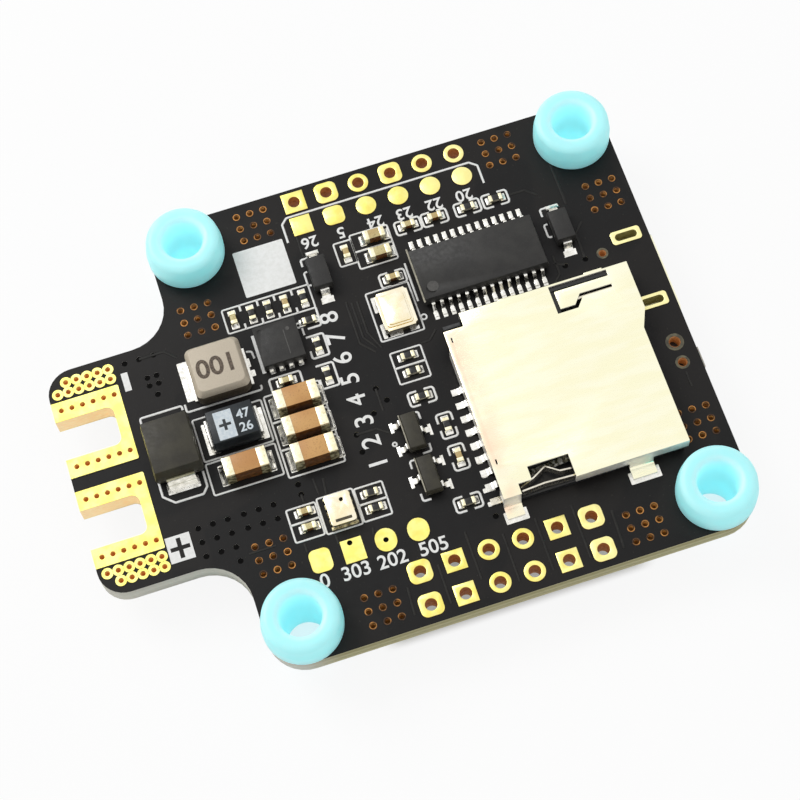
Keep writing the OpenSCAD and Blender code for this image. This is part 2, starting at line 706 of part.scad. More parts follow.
module card_slot_cover() color([0.9, 0.88, 0.8]) on_slot() {
    translate([0, 0, cover_under]) linear_extrude(slot_sheet) difference() {
        cover_plan();
        tongue_cut();
        detect_window();
        for (y = [2.65, slot_w - 2.1]) translate([0.35, y]) square([0.12, 0.4]);
    }
    translate([0, 0, 0.5]) cube([slot_sheet, 0.9, cover_under - 0.5]);
    translate([0, 2.85, 0.35]) cube([slot_sheet, slot_w - 5.3, cover_under - 0.35]);
    translate([window_x1, 0, cover_under - skirt]) cube([slot_len - mouth_step - window_x1, slot_sheet, skirt]);
    translate([corner_x, slot_w - slot_sheet, cover_under - skirt])
        cube([slot_len - corner_x, slot_sheet, skirt]);
    for (leg = front_legs) translate([leg[0], 0, 0]) cover_leg(leg[1], cover_under);
    for (x = back_legs) translate([x, slot_w, 0]) mirror([0, 1, 0]) cover_leg(back_leg_w, cover_under);
}

// Grooves in the floor that hold the contacts, from the back edge
module contact_grooves() for (i = [0:7])
    translate([-1, first_contact_y - i * contact_pitch - contact_w / 2 - 0.05, groove_z])
        cube([8, contact_w + 0.1, slot_h]);

module card_slot_base() color([0.12, 0.12, 0.12]) on_slot() difference() {
    mouth_x = slot_len - mouth_step - 0.2;
    rail_x = slot_len - 0.3;
    union() {
        translate([wall_gap, wall_gap, 0]) cube([mouth_x - wall_gap, slot_w - 2 * wall_gap, slot_floor]);
        translate([wall_gap, wall_gap, 0]) cube([back_wall - wall_gap, corner_y - 2 * wall_gap, cover_under]);
        translate([wall_gap, channel_y1, 0])
            cube([rail_x - wall_gap, slot_w - wall_gap - channel_y1, cover_under]);
        translate([window_x1 + 0.4, wall_gap, 0]) cube([mouth_x - window_x1 - 0.4, rail_w, cover_under]);
        translate([slider_stop_x - 6.06, slider_y - slider_w / 2 - slider_clear - rib_t, 0])
            cube([6.6, rib_t, rib_h]);
        translate([slider_stop_x, channel_y1 - slider_w - 2 * slider_clear, 0])
            cube([rail_x - slider_stop_x, slider_w + 2 * slider_clear + eps, stop_h]);
    }
    contact_grooves();
    translate([1, detect_y - 0.1, groove_z]) cube([6.6, 2, 0.3]);
    translate([cam_pivot_x, slider_y, 0.5]) cylinder(h = 2, d = cam_pin_d + 0.1);
    // clear of the cover's legs, and open over the notched corner
    translate([-1, -1, -1]) cube([2.4, 1.25, slot_h]);
    translate([front_legs[1][0] - 1, -1, -1]) cube([2, 1.25, slot_h]);
    for (x = back_legs) translate([x - 0.8, slot_w - 0.25, -1]) cube([1.6, 1.25, slot_h]);
    translate([-1, corner_y, 0.8]) cube([1 + corner_x - 0.03, 3, slot_h]);
}

// Card contact from the side: tail on the board, flat in the floor, then up to its bowed tip
function contact_profile() =
    let (x = contact_tip[0], z = contact_tip[1], rise_x = 3.2)
    let (low = groove_z + 0.02, high = low + contact_t + eps)
    concat(
        [[-contact_tail, 0], [-contact_tail, contact_t]],
        bend([-contact_tail, contact_t], [-0.25, contact_t], [0, high - 0.02], 0.08),
        bend([-0.25, contact_t], [0, high], [2, high], 0.08),
        bend([0, high], [rise_x, high], [x - 0.2, z - 0.05], 0.3),
        bend([rise_x, high], [x, z], [x + 0.55, z - 0.38], 0.25),
        [[x + 0.55, z - 0.38], [x + 0.46, z - 0.48]],
        bend([x + 0.46, z - 0.48], [x - 0.02, z - 0.14], [rise_x, low], 0.22),
        bend([x - 0.02, z - 0.14], [rise_x + 0.02, low], [0, low], 0.3),
        bend([2, low], [0.05, low], [-0.2, 0], 0.08),
        [[-0.22, 0]]
    );

module card_contacts() color([0.88, 0.82, 0.62]) on_slot() for (i = [0:7])
    translate([0, first_contact_y - i * contact_pitch + contact_w / 2, 0]) rotate([90, 0, 0])
        linear_extrude(contact_w) polygon(contact_profile());

// Two bent blades that touch when a card pushes the near one over
function strip(path, t) = concat(path, [for (i = [len(path) - 1:-1:0]) path[i] + [0, t]]);

module detect_blade(path) translate([0, 0, blade_z[0]])
    linear_extrude(blade_z[1] - blade_z[0]) polygon(strip(path, blade_t));

module card_detect_blades() color([0.88, 0.84, 0.7]) on_slot() {
    detect_blade([[1.5, 0.62], [2.6, 1.05], [3.6, 1.6], [4.5, 0.95], [5.6, 0.85]]);
    detect_blade([[1.5, 0.32], [3.2, 0.42], [5.7, 0.3]]);
    translate([-contact_tail, 0.46, 0]) cube([0.95, 0.5, contact_t]);
}

// Ejector slider with its heart-shaped cam track and the seat of its spring
module cam_track() difference() {
    translate([track_x0, slider_y - cam_swing - cam_lane / 2])
        square([eject_travel + cam_lane + 0.05, 2 * cam_swing + cam_lane]);
    // the heart: the pin runs in along its slanted side and is caught in its notch
    polygon([
        [cam_end_x + 0.75, slider_y + 0.22], [cam_end_x + eject_travel - 0.75, slider_y - 0.06],
        [cam_end_x + eject_travel - 0.95, slider_y + 0.16], [cam_end_x + eject_travel - 0.6, slider_y + 0.3],
        [cam_end_x + 0.95, slider_y + 0.34]
    ]);
}

module card_eject_slider() color([0.2, 0.2, 0.2]) on_slot() difference() {
    union() {
        translate([slider_x0, slider_y - slider_w / 2, slider_z0]) cube([slider_len, slider_w, slider_h]);
        translate([slider_x0, slider_y - slider_w / 2 - slider_arm, slider_z0])
            linear_extrude(slider_h - 0.15) polygon([
                [0, 0], [slider_arm_t, 0], [slider_arm_t, slider_arm / 2], [slider_arm_t + 0.5, slider_arm],
                [slider_arm_t + 0.5, slider_arm + eps], [0, slider_arm + eps]
            ]);
    }
    translate([0, 0, track_top - cam_depth]) linear_extrude(1) cam_track();
    translate([track_x0 - 0.15, slider_y - slider_w, track_top]) cube([slider_len, 2 * slider_w, 1]);
    translate([slider_x0 - 1, slider_y, spring_z]) rotate([0, 90, 0])
        cylinder(h = spring_seat + 1, d = spring_d + 0.1);
}

// Coil spring: a ring of the wire's section at each step along the coil
module coil(len, r, wire, turns) {
    sides = 6;
    steps = turns * 14;
    pitch_len = len - wire;
    points = [for (k = [0:steps], j = [0:sides - 1])
        let (a = 360 * turns * k / steps, b = 360 * j / sides, rr = r + wire / 2 * cos(b))
        [wire / 2 + pitch_len * k / steps + wire / 2 * sin(b), rr * cos(a), rr * sin(a)]];
    faces = concat(
        [[for (j = [0:sides - 1]) j]],
        [[for (j = [sides - 1:-1:0]) steps * sides + j]],
        [for (k = [0:steps - 1], j = [0:sides - 1]) let (a = k * sides, b = a + sides, next = (j + 1) % sides)
            [a + j, b + j, b + next, a + next]]
    );
    polyhedron(points, faces, convexity = 10);
}

module card_eject_spring() color([0.8, 0.8, 0.8]) on_slot()
    translate([spring_x0, slider_y, spring_z]) coil(spring_len, spring_r, spring_wire, spring_turns);

// Cam pin: a wire with both ends bent down, one in the base and one in the cam track
module card_cam_pin() color([0.85, 0.85, 0.85]) on_slot() {
    r = cam_pin_d / 2;
    wire_z = track_top + pin_gap + r;
    foot = cam_depth + r - 0.05;
    translate([cam_end_x, slider_y, wire_z]) rotate([0, 90, 0]) cylinder(h = cam_pivot_x - cam_end_x, r = r);
    for (x = [cam_end_x, cam_pivot_x]) translate([x, slider_y, wire_z]) sphere(r);
    translate([cam_end_x, slider_y, wire_z - foot]) cylinder(h = foot, r = r);
    translate([cam_pivot_x, slider_y, 0.6]) cylinder(h = wire_z - 0.6, r = r);
}

// Power parts

module inductor_body() color([0.79, 0.74, 0.66]) on_top(inductor_at) difference() {
    hull() {
        translate([0, 0, 0.1]) linear_extrude(0.2) round_rect(inductor_side - 0.2, inductor_side - 0.2, 0.5);
        translate([0, 0, 0.4]) linear_extrude(inductor_h - 0.9) round_rect(inductor_side, inductor_side, 0.55);
        translate([0, 0, inductor_h - eps]) linear_extrude(eps)
            round_rect(inductor_side - 0.6, inductor_side - 0.6, 0.45);
    }
    both_ends() translate([inductor_side / 2 - 0.9, -1.6, 0]) cube([2, 3.2, 0.3]);
}

module inductor_terminals() color([0.9, 0.89, 0.85]) on_top(inductor_at) both_ends()
    translate([inductor_side / 2 - 0.9, -1.5, 0]) cube([1.1, 3, 0.2]);

// Bent strap from the side: out of the body, down its end wall and back under it
function strap(end_x, rise, t, under) = concat(
    [[end_x - 0.01, rise + t]],
    bend([end_x, rise + t], [end_x + t + 0.1, rise + t], [end_x + t + 0.1, 0], 0.12),
    bend([end_x + t + 0.1, rise], [end_x + t + 0.1, 0], [end_x - under, 0], 0.12),
    [[end_x - under, 0], [end_x - under, t]],
    bend([end_x - under, t], [end_x + 0.1, t], [end_x + 0.1, rise], 0.05),
    bend([end_x + 0.1, 0], [end_x + 0.1, rise], [end_x, rise], 0.05),
    [[end_x - 0.01, rise]]
);

module strap_terminal(end_x, rise, t, under, w)
    rotate([90, 0, 0]) translate([0, 0, -w / 2]) linear_extrude(w) difference() {
        polygon(strap(end_x, rise, t, under));
        translate([end_x - 0.02, t]) square([0.02, rise + t]);
    }

module surge_diode_body() color([0.24, 0.22, 0.19]) on_top(surge_at) rotate(90)
    moulded_body(surge_len, surge_w, surge_h, strap_t, strap_z, strap_t, mould_draft);

module surge_diode_leads() color([0.86, 0.85, 0.8]) on_top(surge_at) rotate(90) both_ends()
    strap_terminal(surge_len / 2, strap_z, strap_t, 0.9, strap_w);

module tantalum_body() color([0.16, 0.17, 0.18]) on_top(tantalum_at)
    moulded_body(tantalum_len, tantalum_w, tantalum_h, strap_t, strap_z, strap_t, mould_draft / 2);

module tantalum_terminals() color([0.88, 0.86, 0.78]) on_top(tantalum_at) both_ends()
    strap_terminal(tantalum_len / 2, strap_z, strap_t, 0.8, strap_w);

module buck_converter_body() color([0.15, 0.15, 0.15]) on_top(buck_at) difference() {
    translate([0, 0, 0.02]) box(buck_side, buck_side, buck_h - 0.02);
    translate([0.45 - buck_side / 2, buck_side / 2 - 0.45, buck_h - 0.05]) cylinder(h = 1, d = 0.35);
    buck_pad_row() translate([-0.16, -0.6, -1]) cube([0.32, 0.6 + 1, 1.22]);
    box(1.9, 2, 0.22);
}

module buck_pad_row() both_ends() for (i = [0:3]) translate([(i - 1.5) * 0.75, buck_side / 2, 0]) children();

module buck_converter_pads() color([0.88, 0.84, 0.7]) on_top(buck_at) {
    buck_pad_row() translate([-0.15, -0.58, 0]) cube([0.3, 0.66, 0.2]);
    box(1.88, 1.98, 0.2);
}

// Chip capacitors and resistors

module at_chips(places, flip = false) for (p = places) {
    if (flip) underneath([p[0], p[1]]) rotate(p[2]) children();
    else on_top([p[0], p[1]]) rotate(p[2]) children();
}

module large_capacitor_bodies() color([0.78, 0.58, 0.38]) for (p = large_caps)
    on_top(p) chip_core(large_cap_len, large_cap_w, large_cap_h);

module large_capacitor_ends() color([0.9, 0.88, 0.8]) for (p = large_caps)
    on_top(p) chip_ends(large_cap_len, large_cap_w, large_cap_h, 0.65);

module small_capacitor_bodies() color([0.8, 0.68, 0.48]) {
    for (p = middle_caps) on_top(p) chip_core(middle_cap_len, middle_cap_w, middle_cap_w);
    at_chips(small_caps) chip_core(chip_len, chip_w, chip_w);
    at_chips(under_caps, true) chip_core(chip_len, chip_w, chip_w);
}

module small_capacitor_ends() color([0.9, 0.88, 0.8]) {
    for (p = middle_caps) on_top(p) chip_ends(middle_cap_len, middle_cap_w, middle_cap_w, 0.38);
    at_chips(small_caps) chip_ends(chip_len, chip_w, chip_w, 0.27);
    at_chips(under_caps, true) chip_ends(chip_len, chip_w, chip_w, 0.27);
}

module at_resistors() {
    at_chips(small_resistors) children();
    at_chips(under_resistors, true) children();
}

module resistor_bodies() color([0.9, 0.9, 0.88]) at_resistors()
    chip_core(chip_len, chip_w, resistor_h);

module resistor_coats() color([0.1, 0.1, 0.1]) at_resistors()
    translate([0, 0, resistor_h - end_t]) box(chip_len - 0.5, chip_w - 2 * end_t, coat_t);

module resistor_ends() color([0.9, 0.89, 0.85]) at_resistors()
    chip_ends(chip_len, chip_w, resistor_h, 0.24);

// Small diodes and transistors

module small_diode_bodies() color([0.15, 0.14, 0.13]) for (p = small_diodes) on_top(p)
    moulded_body(diode_w, diode_len, diode_h, standoff, diode_h / 2, small_lead_t, mould_draft / 2);

module small_diode_leads() color([0.88, 0.87, 0.83]) for (p = small_diodes) on_top(p) both_ends() rotate(90)
    translate([diode_len / 2, 0, 0]) gull_lead(0.65, 0.65, 0.35, diode_h / 2, small_lead_t);

module small_leads(count, pitch, half_w)
    lead_row(count, pitch, half_w, small_lead_w, small_reach, small_foot, transistor_h / 2, small_lead_t);

// Three-lead body along y: one lead in the middle of +x, two leads on -x
module three_leads() {
    small_leads(1, outer_pitch, transistor_w / 2);
    rotate(180) small_leads(2, outer_pitch, transistor_w / 2);
}

module transistor_bodies() color([0.2, 0.19, 0.17]) at_chips(transistors)
    moulded_body(transistor_w, transistor_len, transistor_h, standoff, transistor_h / 2, small_lead_t,
        mould_draft);

module transistor_leads() color([0.88, 0.87, 0.83]) at_chips(transistors) three_leads();

module regulator_bodies() color([0.17, 0.17, 0.17]) at_chips([for (p = regulators) [p[0], p[1], 0]], true)
    moulded_body(regulator_w, transistor_len, transistor_h, standoff, transistor_h / 2, small_lead_t,
        mould_draft);

module regulator_leads() color([0.88, 0.87, 0.83]) at_chips([for (p = regulators) [p[0], p[1], 0]], true) {
    small_leads(2, outer_pitch, regulator_w / 2);
    rotate(180) small_leads(3, outer_pitch / 2, regulator_w / 2);
}

// Barometer: a small carrier with solder notches, and a metal lid with its pressure port

module barometer_base() color([0.75, 0.65, 0.4]) on_top(barometer_at) difference() {
    box(baro_w, baro_d, baro_base_h);
    for (i = [0:3], side = [-1, 1]) translate([side * baro_w / 2, (i - 1.5) * 0.6, -1])
        cylinder(h = 2, r = 0.12);
}

module barometer_lid() color([0.93, 0.88, 0.76]) on_top(barometer_at) difference() {
    lid_h = baro_h - baro_base_h;
    translate([0, 0, baro_base_h]) linear_extrude(lid_h) round_rect(baro_w - 0.15, baro_d - 0.15, 0.2);
    translate([0, 0, baro_base_h - eps]) linear_extrude(lid_h - 0.1 + eps)
        round_rect(baro_w - 0.35, baro_d - 0.35, 0.12);
    translate([0.25, 0.6, 0]) cylinder(h = 2, d = 0.3);
}

// Processor and motion sensor, under the board

module processor_body() color([0.15, 0.15, 0.15]) underneath(processor_at) difference() {
    moulded_body(processor_side, processor_side, processor_h, standoff, processor_lead_z, lead_t, mould_draft);
    translate([0.9 - processor_side / 2, processor_side / 2 - 0.9, processor_h - dimple_depth])
        cylinder(h = 1, d = 0.9);
}

module processor_leads() color([0.85, 0.85, 0.83]) underneath(processor_at)
    for (side = [0:3]) rotate(90 * side)
        lead_row(16, processor_pitch, processor_side / 2, processor_lead_w,
            (processor_span - processor_side) / 2, 0.5, processor_lead_z, lead_t);

module motion_sensor() color([0.13, 0.13, 0.13]) underneath(motion_at) difference() {
    box(3, 3, 0.85);
    translate([-1.1, 1.1, 0.8]) cylinder(h = 1, d = 0.3);
}

// USB socket under the board's right edge, with its mouth facing +x

// Shell section in y and z: wide away from the board, with slanted lower corners
function usb_section(inset) = 
    let (w = usb_w / 2 - inset, low = inset, high = usb_h - inset, c = usb_corner)
    concat(
        bend([w, low], [w, high], [-w, high], 0.35), bend([w, high], [-w, high], [-w, low], 0.35),
        [[-w, low + c], [-w + c * 0.8, low], [w - c * 0.8, low], [w, low + c]]
    );

module usb_prism(inset, x0, x1) translate([x0, usb_y, 0]) rotate([90, 0, 90])
    linear_extrude(x1 - x0) polygon(usb_section(inset));

module under_usb() underneath() translate([0, 0, copper_t]) children();

module usb_shell() color([0.82, 0.82, 0.82]) {
    under_usb() difference() {
        union() {
            usb_prism(0, usb_x0, usb_x1);
            // flared lip on the side away from the board
            translate([usb_x1 - 0.4, usb_y - usb_w / 2 + usb_corner, usb_h - usb_sheet])
                cube([0.4, usb_w - 2 * usb_corner, usb_sheet + 0.05]);
        }
        usb_prism(usb_sheet, usb_x0 - 1, usb_x1 + 1);
        for (side = [-1, 1])
            translate([usb_x0 + 1.8, usb_y + side * 1.6 - 0.35, usb_h - 1]) cube([1.6, 0.7, 2]);
    }
    for (side = [-1, 1]) translate([usb_leg_x - 0.55, usb_y + side * usb_leg_pitch / 2 - 0.15, bottom_z - 0.4])
        cube([1.1, 0.3, 1.2]);
}

module usb_tongue() color([0.1, 0.1, 0.1]) under_usb() {
    usb_prism(usb_sheet + usb_gap, usb_x0, usb_x0 + usb_back);
    translate([usb_x0, usb_y - usb_tongue_w / 2, 0.95]) cube([usb_len - 0.8, usb_tongue_w, 0.55]);
}

module usb_contacts() color([0.9, 0.8, 0.5]) for (i = [0:4])
    translate([usb_x0, usb_y + (i - 2) * usb_contact_pitch - usb_contact_w / 2, 0]) {
        under_usb() translate([usb_back, 0, 0.86]) cube([2.9, usb_contact_w, 0.09]);
        underneath() translate([-0.5, 0, 0]) cube([0.5, usb_contact_w, 0.12]);
    }

// Boot button, pressed from the board's edge

module button_outline(extra) translate([button_x0 - extra, button_y - button_w / 2 - extra])
    square([button_len + 2 * extra, button_w + 2 * extra]);

module boot_button_housing() color([0.12, 0.12, 0.12]) underneath() {
    difference() {
        linear_extrude(button_h - button_sheet) button_outline(0);
        // room for the plunger's head, with its travel behind it
        translate([button_x1 - button_wall - button_head_t - plunger_travel - plunger_clear,
            button_y - button_head_w / 2 - plunger_clear, plunger_z - plunger_h / 2 - plunger_clear - 0.15])
            cube([button_head_t + plunger_travel + plunger_clear, button_head_w + 2 * plunger_clear, 2]);
        translate([button_x1 - button_wall - eps, button_y - plunger_w / 2 - plunger_clear,
            plunger_z - plunger_h / 2 - plunger_clear]) cube([2, plunger_w + 2 * plunger_clear, 2]);
    }
    for (k = [0, 1]) translate([peg_x, button_y + (0.5 - k) * peg_pitch, -0.8]) cylinder(h = 0.8, d = peg_d[k]);
}

module boot_button_cover() color([0.85, 0.85, 0.85]) underneath() {
    translate([0, 0, button_h - button_sheet]) linear_extrude(button_sheet) button_outline(button_sheet);
    for (side = [-1, 1]) translate([button_x0 + 0.5, button_y + side * (button_w / 2 + button_sheet / 2)
        - button_sheet / 2, 0]) cube([1.4, button_sheet, button_h - button_sheet]);
}

module boot_button_plunger() color([0.75, 0.75, 0.72]) underneath() {
    translate([button_x1 - button_wall - 0.02, button_y - plunger_w / 2, plunger_z - plunger_h / 2])
        cube([button_wall + plunger_proud + 0.02, plunger_w, plunger_h]);
    translate([button_x1 - button_wall - button_head_t - 0.02, button_y - button_head_w / 2,
        plunger_z - plunger_h / 2 - 0.1]) cube([button_head_t, button_head_w, plunger_h]);
}

module boot_button_terminals() color([0.88, 0.86, 0.78]) underneath() for (side = [-1, 1])
    translate([button_x0 - 0.6, button_y + side * (button_w / 2 - 0.8) - 0.3, 0]) cube([0.6, 0.6, 0.15]);

// Status lights, current shunt

module status_lights() color([0.9, 0.92, 0.8]) for (p = light_places) underneath(p) {
    box(light_w, light_d, 0.3);
    translate([0, 0, 0.3]) linear_extrude(0.35) round_rect(light_w - 0.5, light_d - 0.02, 0.1);
}

module current_shunt_body() color([0.2, 0.2, 0.2]) underneath(shunt_at) rotate(90)
    translate([0, 0, 0.05]) box(shunt_len, shunt_w, shunt_h);

module current_shunt_ends() color([0.88, 0.82, 0.75]) underneath(shunt_at) rotate(90) both_ends()
    translate([shunt_len / 2, -shunt_w / 2, 0]) cube([1, shunt_w, shunt_h]);

circuit_board();
battery_terminals();
back_row_pads();
front_header_pads();
sensor_bus_pads();
usb_slot_pads();
power_pads();
grommet_front_left();
grommet_front_right();
grommet_back_left();
grommet_back_right();
overlay_chip_body();
overlay_chip_leads();
crystal_base();
crystal_lid();
card_slot_cover();
card_slot_base();
card_contacts();
card_detect_blades();
card_eject_slider();
card_eject_spring();
card_cam_pin();
inductor_body();
inductor_terminals();
surge_diode_body();
surge_diode_leads();
tantalum_body();
tantalum_terminals();
buck_converter_body();
buck_converter_pads();
large_capacitor_bodies();
large_capacitor_ends();
small_capacitor_bodies();
small_capacitor_ends();
resistor_bodies();
resistor_coats();
resistor_ends();
small_diode_bodies();
small_diode_leads();
transistor_bodies();
transistor_leads();
barometer_base();
barometer_lid();
processor_body();
processor_leads();
motion_sensor();
clock_crystal_base();
clock_crystal_lid();
usb_shell();
usb_tongue();
usb_contacts();
boot_button_housing();
boot_button_cover();
boot_button_plunger();
boot_button_terminals();
status_lights();
current_shunt_body();
current_shunt_ends();
regulator_bodies();
regulator_leads();
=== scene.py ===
import json
import math

import bpy
from mathutils import Matrix, Vector

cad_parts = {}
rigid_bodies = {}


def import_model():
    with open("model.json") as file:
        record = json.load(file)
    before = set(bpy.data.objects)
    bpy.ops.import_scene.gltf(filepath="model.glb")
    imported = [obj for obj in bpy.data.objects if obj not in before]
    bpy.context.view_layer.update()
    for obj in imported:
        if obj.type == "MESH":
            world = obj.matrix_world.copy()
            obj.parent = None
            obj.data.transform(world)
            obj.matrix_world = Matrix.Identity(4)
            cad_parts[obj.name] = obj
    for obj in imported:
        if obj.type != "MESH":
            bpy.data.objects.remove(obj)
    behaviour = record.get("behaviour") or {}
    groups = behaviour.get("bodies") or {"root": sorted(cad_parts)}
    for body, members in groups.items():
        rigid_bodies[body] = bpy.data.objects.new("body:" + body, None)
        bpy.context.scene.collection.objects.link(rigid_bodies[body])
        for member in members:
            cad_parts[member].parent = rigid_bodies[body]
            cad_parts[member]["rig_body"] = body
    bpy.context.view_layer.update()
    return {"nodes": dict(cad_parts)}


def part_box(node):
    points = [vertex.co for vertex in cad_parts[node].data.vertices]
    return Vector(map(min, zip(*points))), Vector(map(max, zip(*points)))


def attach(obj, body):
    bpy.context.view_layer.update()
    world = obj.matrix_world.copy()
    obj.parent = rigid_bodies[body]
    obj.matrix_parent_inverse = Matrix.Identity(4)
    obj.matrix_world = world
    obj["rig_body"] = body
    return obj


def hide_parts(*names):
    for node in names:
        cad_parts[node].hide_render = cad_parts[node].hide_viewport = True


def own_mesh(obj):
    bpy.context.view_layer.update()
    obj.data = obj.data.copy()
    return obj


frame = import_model()
scene = bpy.context.scene
mm = 0.001
topZ = 4.2  # the board's upper face, in mm like all sizes below
underZ = 2.6
mountAt = 15.25  # the mounting holes lie at (mountAt, mountAt) and its three mirror places

# The camera stands high over the left front edge, rolled a little
camera = {
    "place": (-15.51, -60.34, 145.45),
    "ahead": (0.0769, 0.3850, -0.9197),
    "up": (0.2984, 0.8713, 0.3897),
    "lens": 95.36,
}
ahead = Vector(camera["ahead"]).normalized()
right = ahead.cross(Vector(camera["up"])).normalized()
eye = bpy.data.objects.new("camera", bpy.data.cameras.new("camera"))
eye.data.lens = camera["lens"]
eye.data.clip_start = 0.005
turned = Matrix((right, right.cross(ahead), -ahead)).transposed().to_4x4()
eye.matrix_world = Matrix.Translation(Vector(camera["place"]) * mm) @ turned
scene.collection.objects.link(eye)
scene.camera = eye
scene.view_settings.view_transform = "Standard"


class Field:
    # one value in a shader graph; sums of these become Math nodes
    def __init__(self, paint, socket):
        self.paint = paint
        self.socket = socket

    def combine(self, operation, first, second):
        return self.paint.node("ShaderNodeMath", {"operation": operation}, {0: first, 1: second})

    def __add__(self, other):
        return self.combine("ADD", self, other)

    def __radd__(self, other):
        return self.combine("ADD", other, self)

    def __sub__(self, other):
        return self.combine("SUBTRACT", self, other)

    def __rsub__(self, other):
        return self.combine("SUBTRACT", other, self)

    def __mul__(self, other):
        return self.combine("MULTIPLY", self, other)

    def __rmul__(self, other):
        return self.combine("MULTIPLY", other, self)


def tone(red, green, blue):
    # screen values from 0 to 255, as the linear colour a shader wants
    parts = [value / 255 for value in (red, green, blue)]
    return tuple(p / 12.92 if p <= 0.04045 else ((p + 0.055) / 1.055) ** 2.4 for p in parts) + (1,)


class Paint:
    def __init__(self, owner):
        owner.use_nodes = True
        self.owner = owner
        self.tree = owner.node_tree

    def node(self, kind, settings=None, inputs=None, output=0):
        made = self.tree.nodes.new(kind)
        for name, value in (settings or {}).items():
            setattr(made, name, value)
        for name, value in (inputs or {}).items():
            self.feed(made.inputs[name], value)
        return Field(self, made.outputs[output])

    def feed(self, socket, value):
        if isinstance(value, Field):
            self.tree.links.new(value.socket, socket)
        else:
            socket.default_value = value

    def place(self, stretch=None):
        spot = self.node("ShaderNodeTexCoord", output="Object")
        if stretch:
            spot = self.node("ShaderNodeMapping", {}, {"Vector": spot, "Scale": stretch})
        return spot

    def noise(self, size, detail=2, stretch=None):
        # size is that of one blotch, in mm
        return self.node("ShaderNodeTexNoise", {}, {
            "Vector": self.place(stretch), "Scale": 1 / (size * mm), "Detail": detail, "Roughness": 0.55})

    def axis(self, name):
        return self.node("ShaderNodeSeparateXYZ", {}, {0: self.place()}, name)

    def span(self, name):
        # distance from the middle along one axis, in metres
        return self.node("ShaderNodeMath", {"operation": "ABSOLUTE"}, {0: self.axis(name)})

    def cornerSpan(self, out):
        # square of the distance, in mm, to the nearest of the four places (out, out)
        spans = [self.span(name) * (1 / mm) - out for name in "XY"]
        return spans[0] * spans[0] + spans[1] * spans[1]

    def step(self, value, low, high):
        return self.node("ShaderNodeMapRange", {"interpolation_type": "SMOOTHSTEP"},
                         {"Value": value, "From Min": low, "From Max": high})

    def mix(self, share, first, second):
        return self.node("ShaderNodeMix", {"data_type": "RGBA"}, {0: share, 6: first, 7: second}, 2)

    def bump(self, height, depth):
        # depth in mm
        return self.node("ShaderNodeBump", {}, {"Height": height, "Distance": depth * mm})


def finish(name, color, roughness, normal=None, **rest):
    # a material from a function that fills in colour, roughness and bump with nodes
    paint = Paint(bpy.data.materials.new(name))
    shader = paint.tree.nodes["Principled BSDF"]
    values = {"Base Color": color, "Roughness": roughness}
    if normal:
        values["Normal"] = normal
    for socket, value in values.items():
        paint.feed(shader.inputs[socket], value(paint) if callable(value) else value)
    for socket, value in rest.items():
        shader.inputs[socket.replace("_", " ")].default_value = value
    return paint.owner


def blotches(dark, light, size, low=0.35, high=0.65, detail=3, stretch=None):
    return lambda p: p.mix(p.step(p.noise(size, detail, stretch), low, high), tone(*dark), tone(*light))


def between(low, high, size, stretch=None):
    return lambda p: low + (high - low) * p.step(p.noise(size, 3, stretch), 0.3, 0.7)


def grain(size, depth, stretch=None):
    return lambda p: p.bump(p.noise(size, 3, stretch), depth)


def maskColor(p):
    # black solder mask: warmer and a touch lighter over bare laminate than over the copper
    patches = p.step(p.noise(5.5, 1), 0.47, 0.53)
    base = p.mix(patches, tone(22, 21, 21), tone(29, 27, 26))
    dust = p.step(p.noise(0.16, 4), 0.64, 0.8)
    return p.mix(dust, base, tone(58, 55, 50))


def maskBump(p):
    weave = p.noise(0.9, 2) * 0.7 + p.noise(0.13, 2) * 0.3
    return p.bump(weave, 0.012)


def laminateColor(p):
    # pressed layers of glass cloth, seen on the board's cut edge
    layer = p.node("ShaderNodeMath", {"operation": "SINE"}, {0: p.axis("Z") * (2 * math.pi / (0.8 * mm))})
    cloth = p.mix(p.step(layer + p.noise(0.5, 3, (1, 1, 4)) * 1.4, 0.2, 1.4),
                  tone(168, 162, 118), tone(190, 184, 142))
    low = 1 - p.step(p.axis("Z"), (underZ + 0.1) * mm, (underZ + 0.7) * mm)
    edge = p.mix(low * 0.7, cloth, tone(222, 214, 164))
    return p.mix(p.step(p.axis("X"), -16.5 * mm, -13 * mm), tone(214, 212, 200), edge)


def siliconeColor(p):
    # paler at the top rim and the foot, a painted highlight, and paler round the bore, painted light; deeper
    # towards the waist
    height = p.axis("Z")
    rim = p.step(height, 5.6 * mm, 6.8 * mm) + (1 - p.step(height, 0.0, 1.2 * mm))
    deep = p.mix(p.step(p.noise(1.6, 2), 0.3, 0.7), tone(170, 250, 254), tone(180, 252, 255))
    # painted light: the colour turns paler near the mounting hole's bore
    bore = 1 - p.step(p.cornerSpan(mountAt), 2.2, 4.2)
    return p.mix(bore * 0.6, p.mix(rim * 0.5, deep, tone(188, 253, 255)), tone(226, 252, 255))


def capColor(p):
    # fired ceramic: a slightly different brown from one part to the next
    part = p.step(p.noise(2.3, 0), 0.3, 0.7)
    body = p.mix(part, tone(204, 148, 88), tone(222, 172, 108))
    return p.mix(p.step(p.noise(0.08, 2), 0.55, 0.75), body, tone(184, 128, 76))


def paleCapColor(p):
    part = p.step(p.noise(1.9, 0), 0.35, 0.65)
    return p.mix(p.step(p.noise(0.1, 2), 0.5, 0.75), p.mix(part, tone(206, 180, 122), tone(222, 208, 152)),
                 tone(176, 152, 100))


def coverColor(p):
    # rolled sheet, with a peach tint along its left fold that is a painted reflection
    sheet = blotches((252, 248, 214), (254, 251, 224), 3.5, stretch=(1, 5, 1))(p)
    fold = (1 - p.step(p.axis("X"), 0.9 * mm, 3.0 * mm)) * p.step(p.noise(2.4, 2), 0.3, 0.65)
    return p.mix(fold, sheet, tone(255, 226, 198))


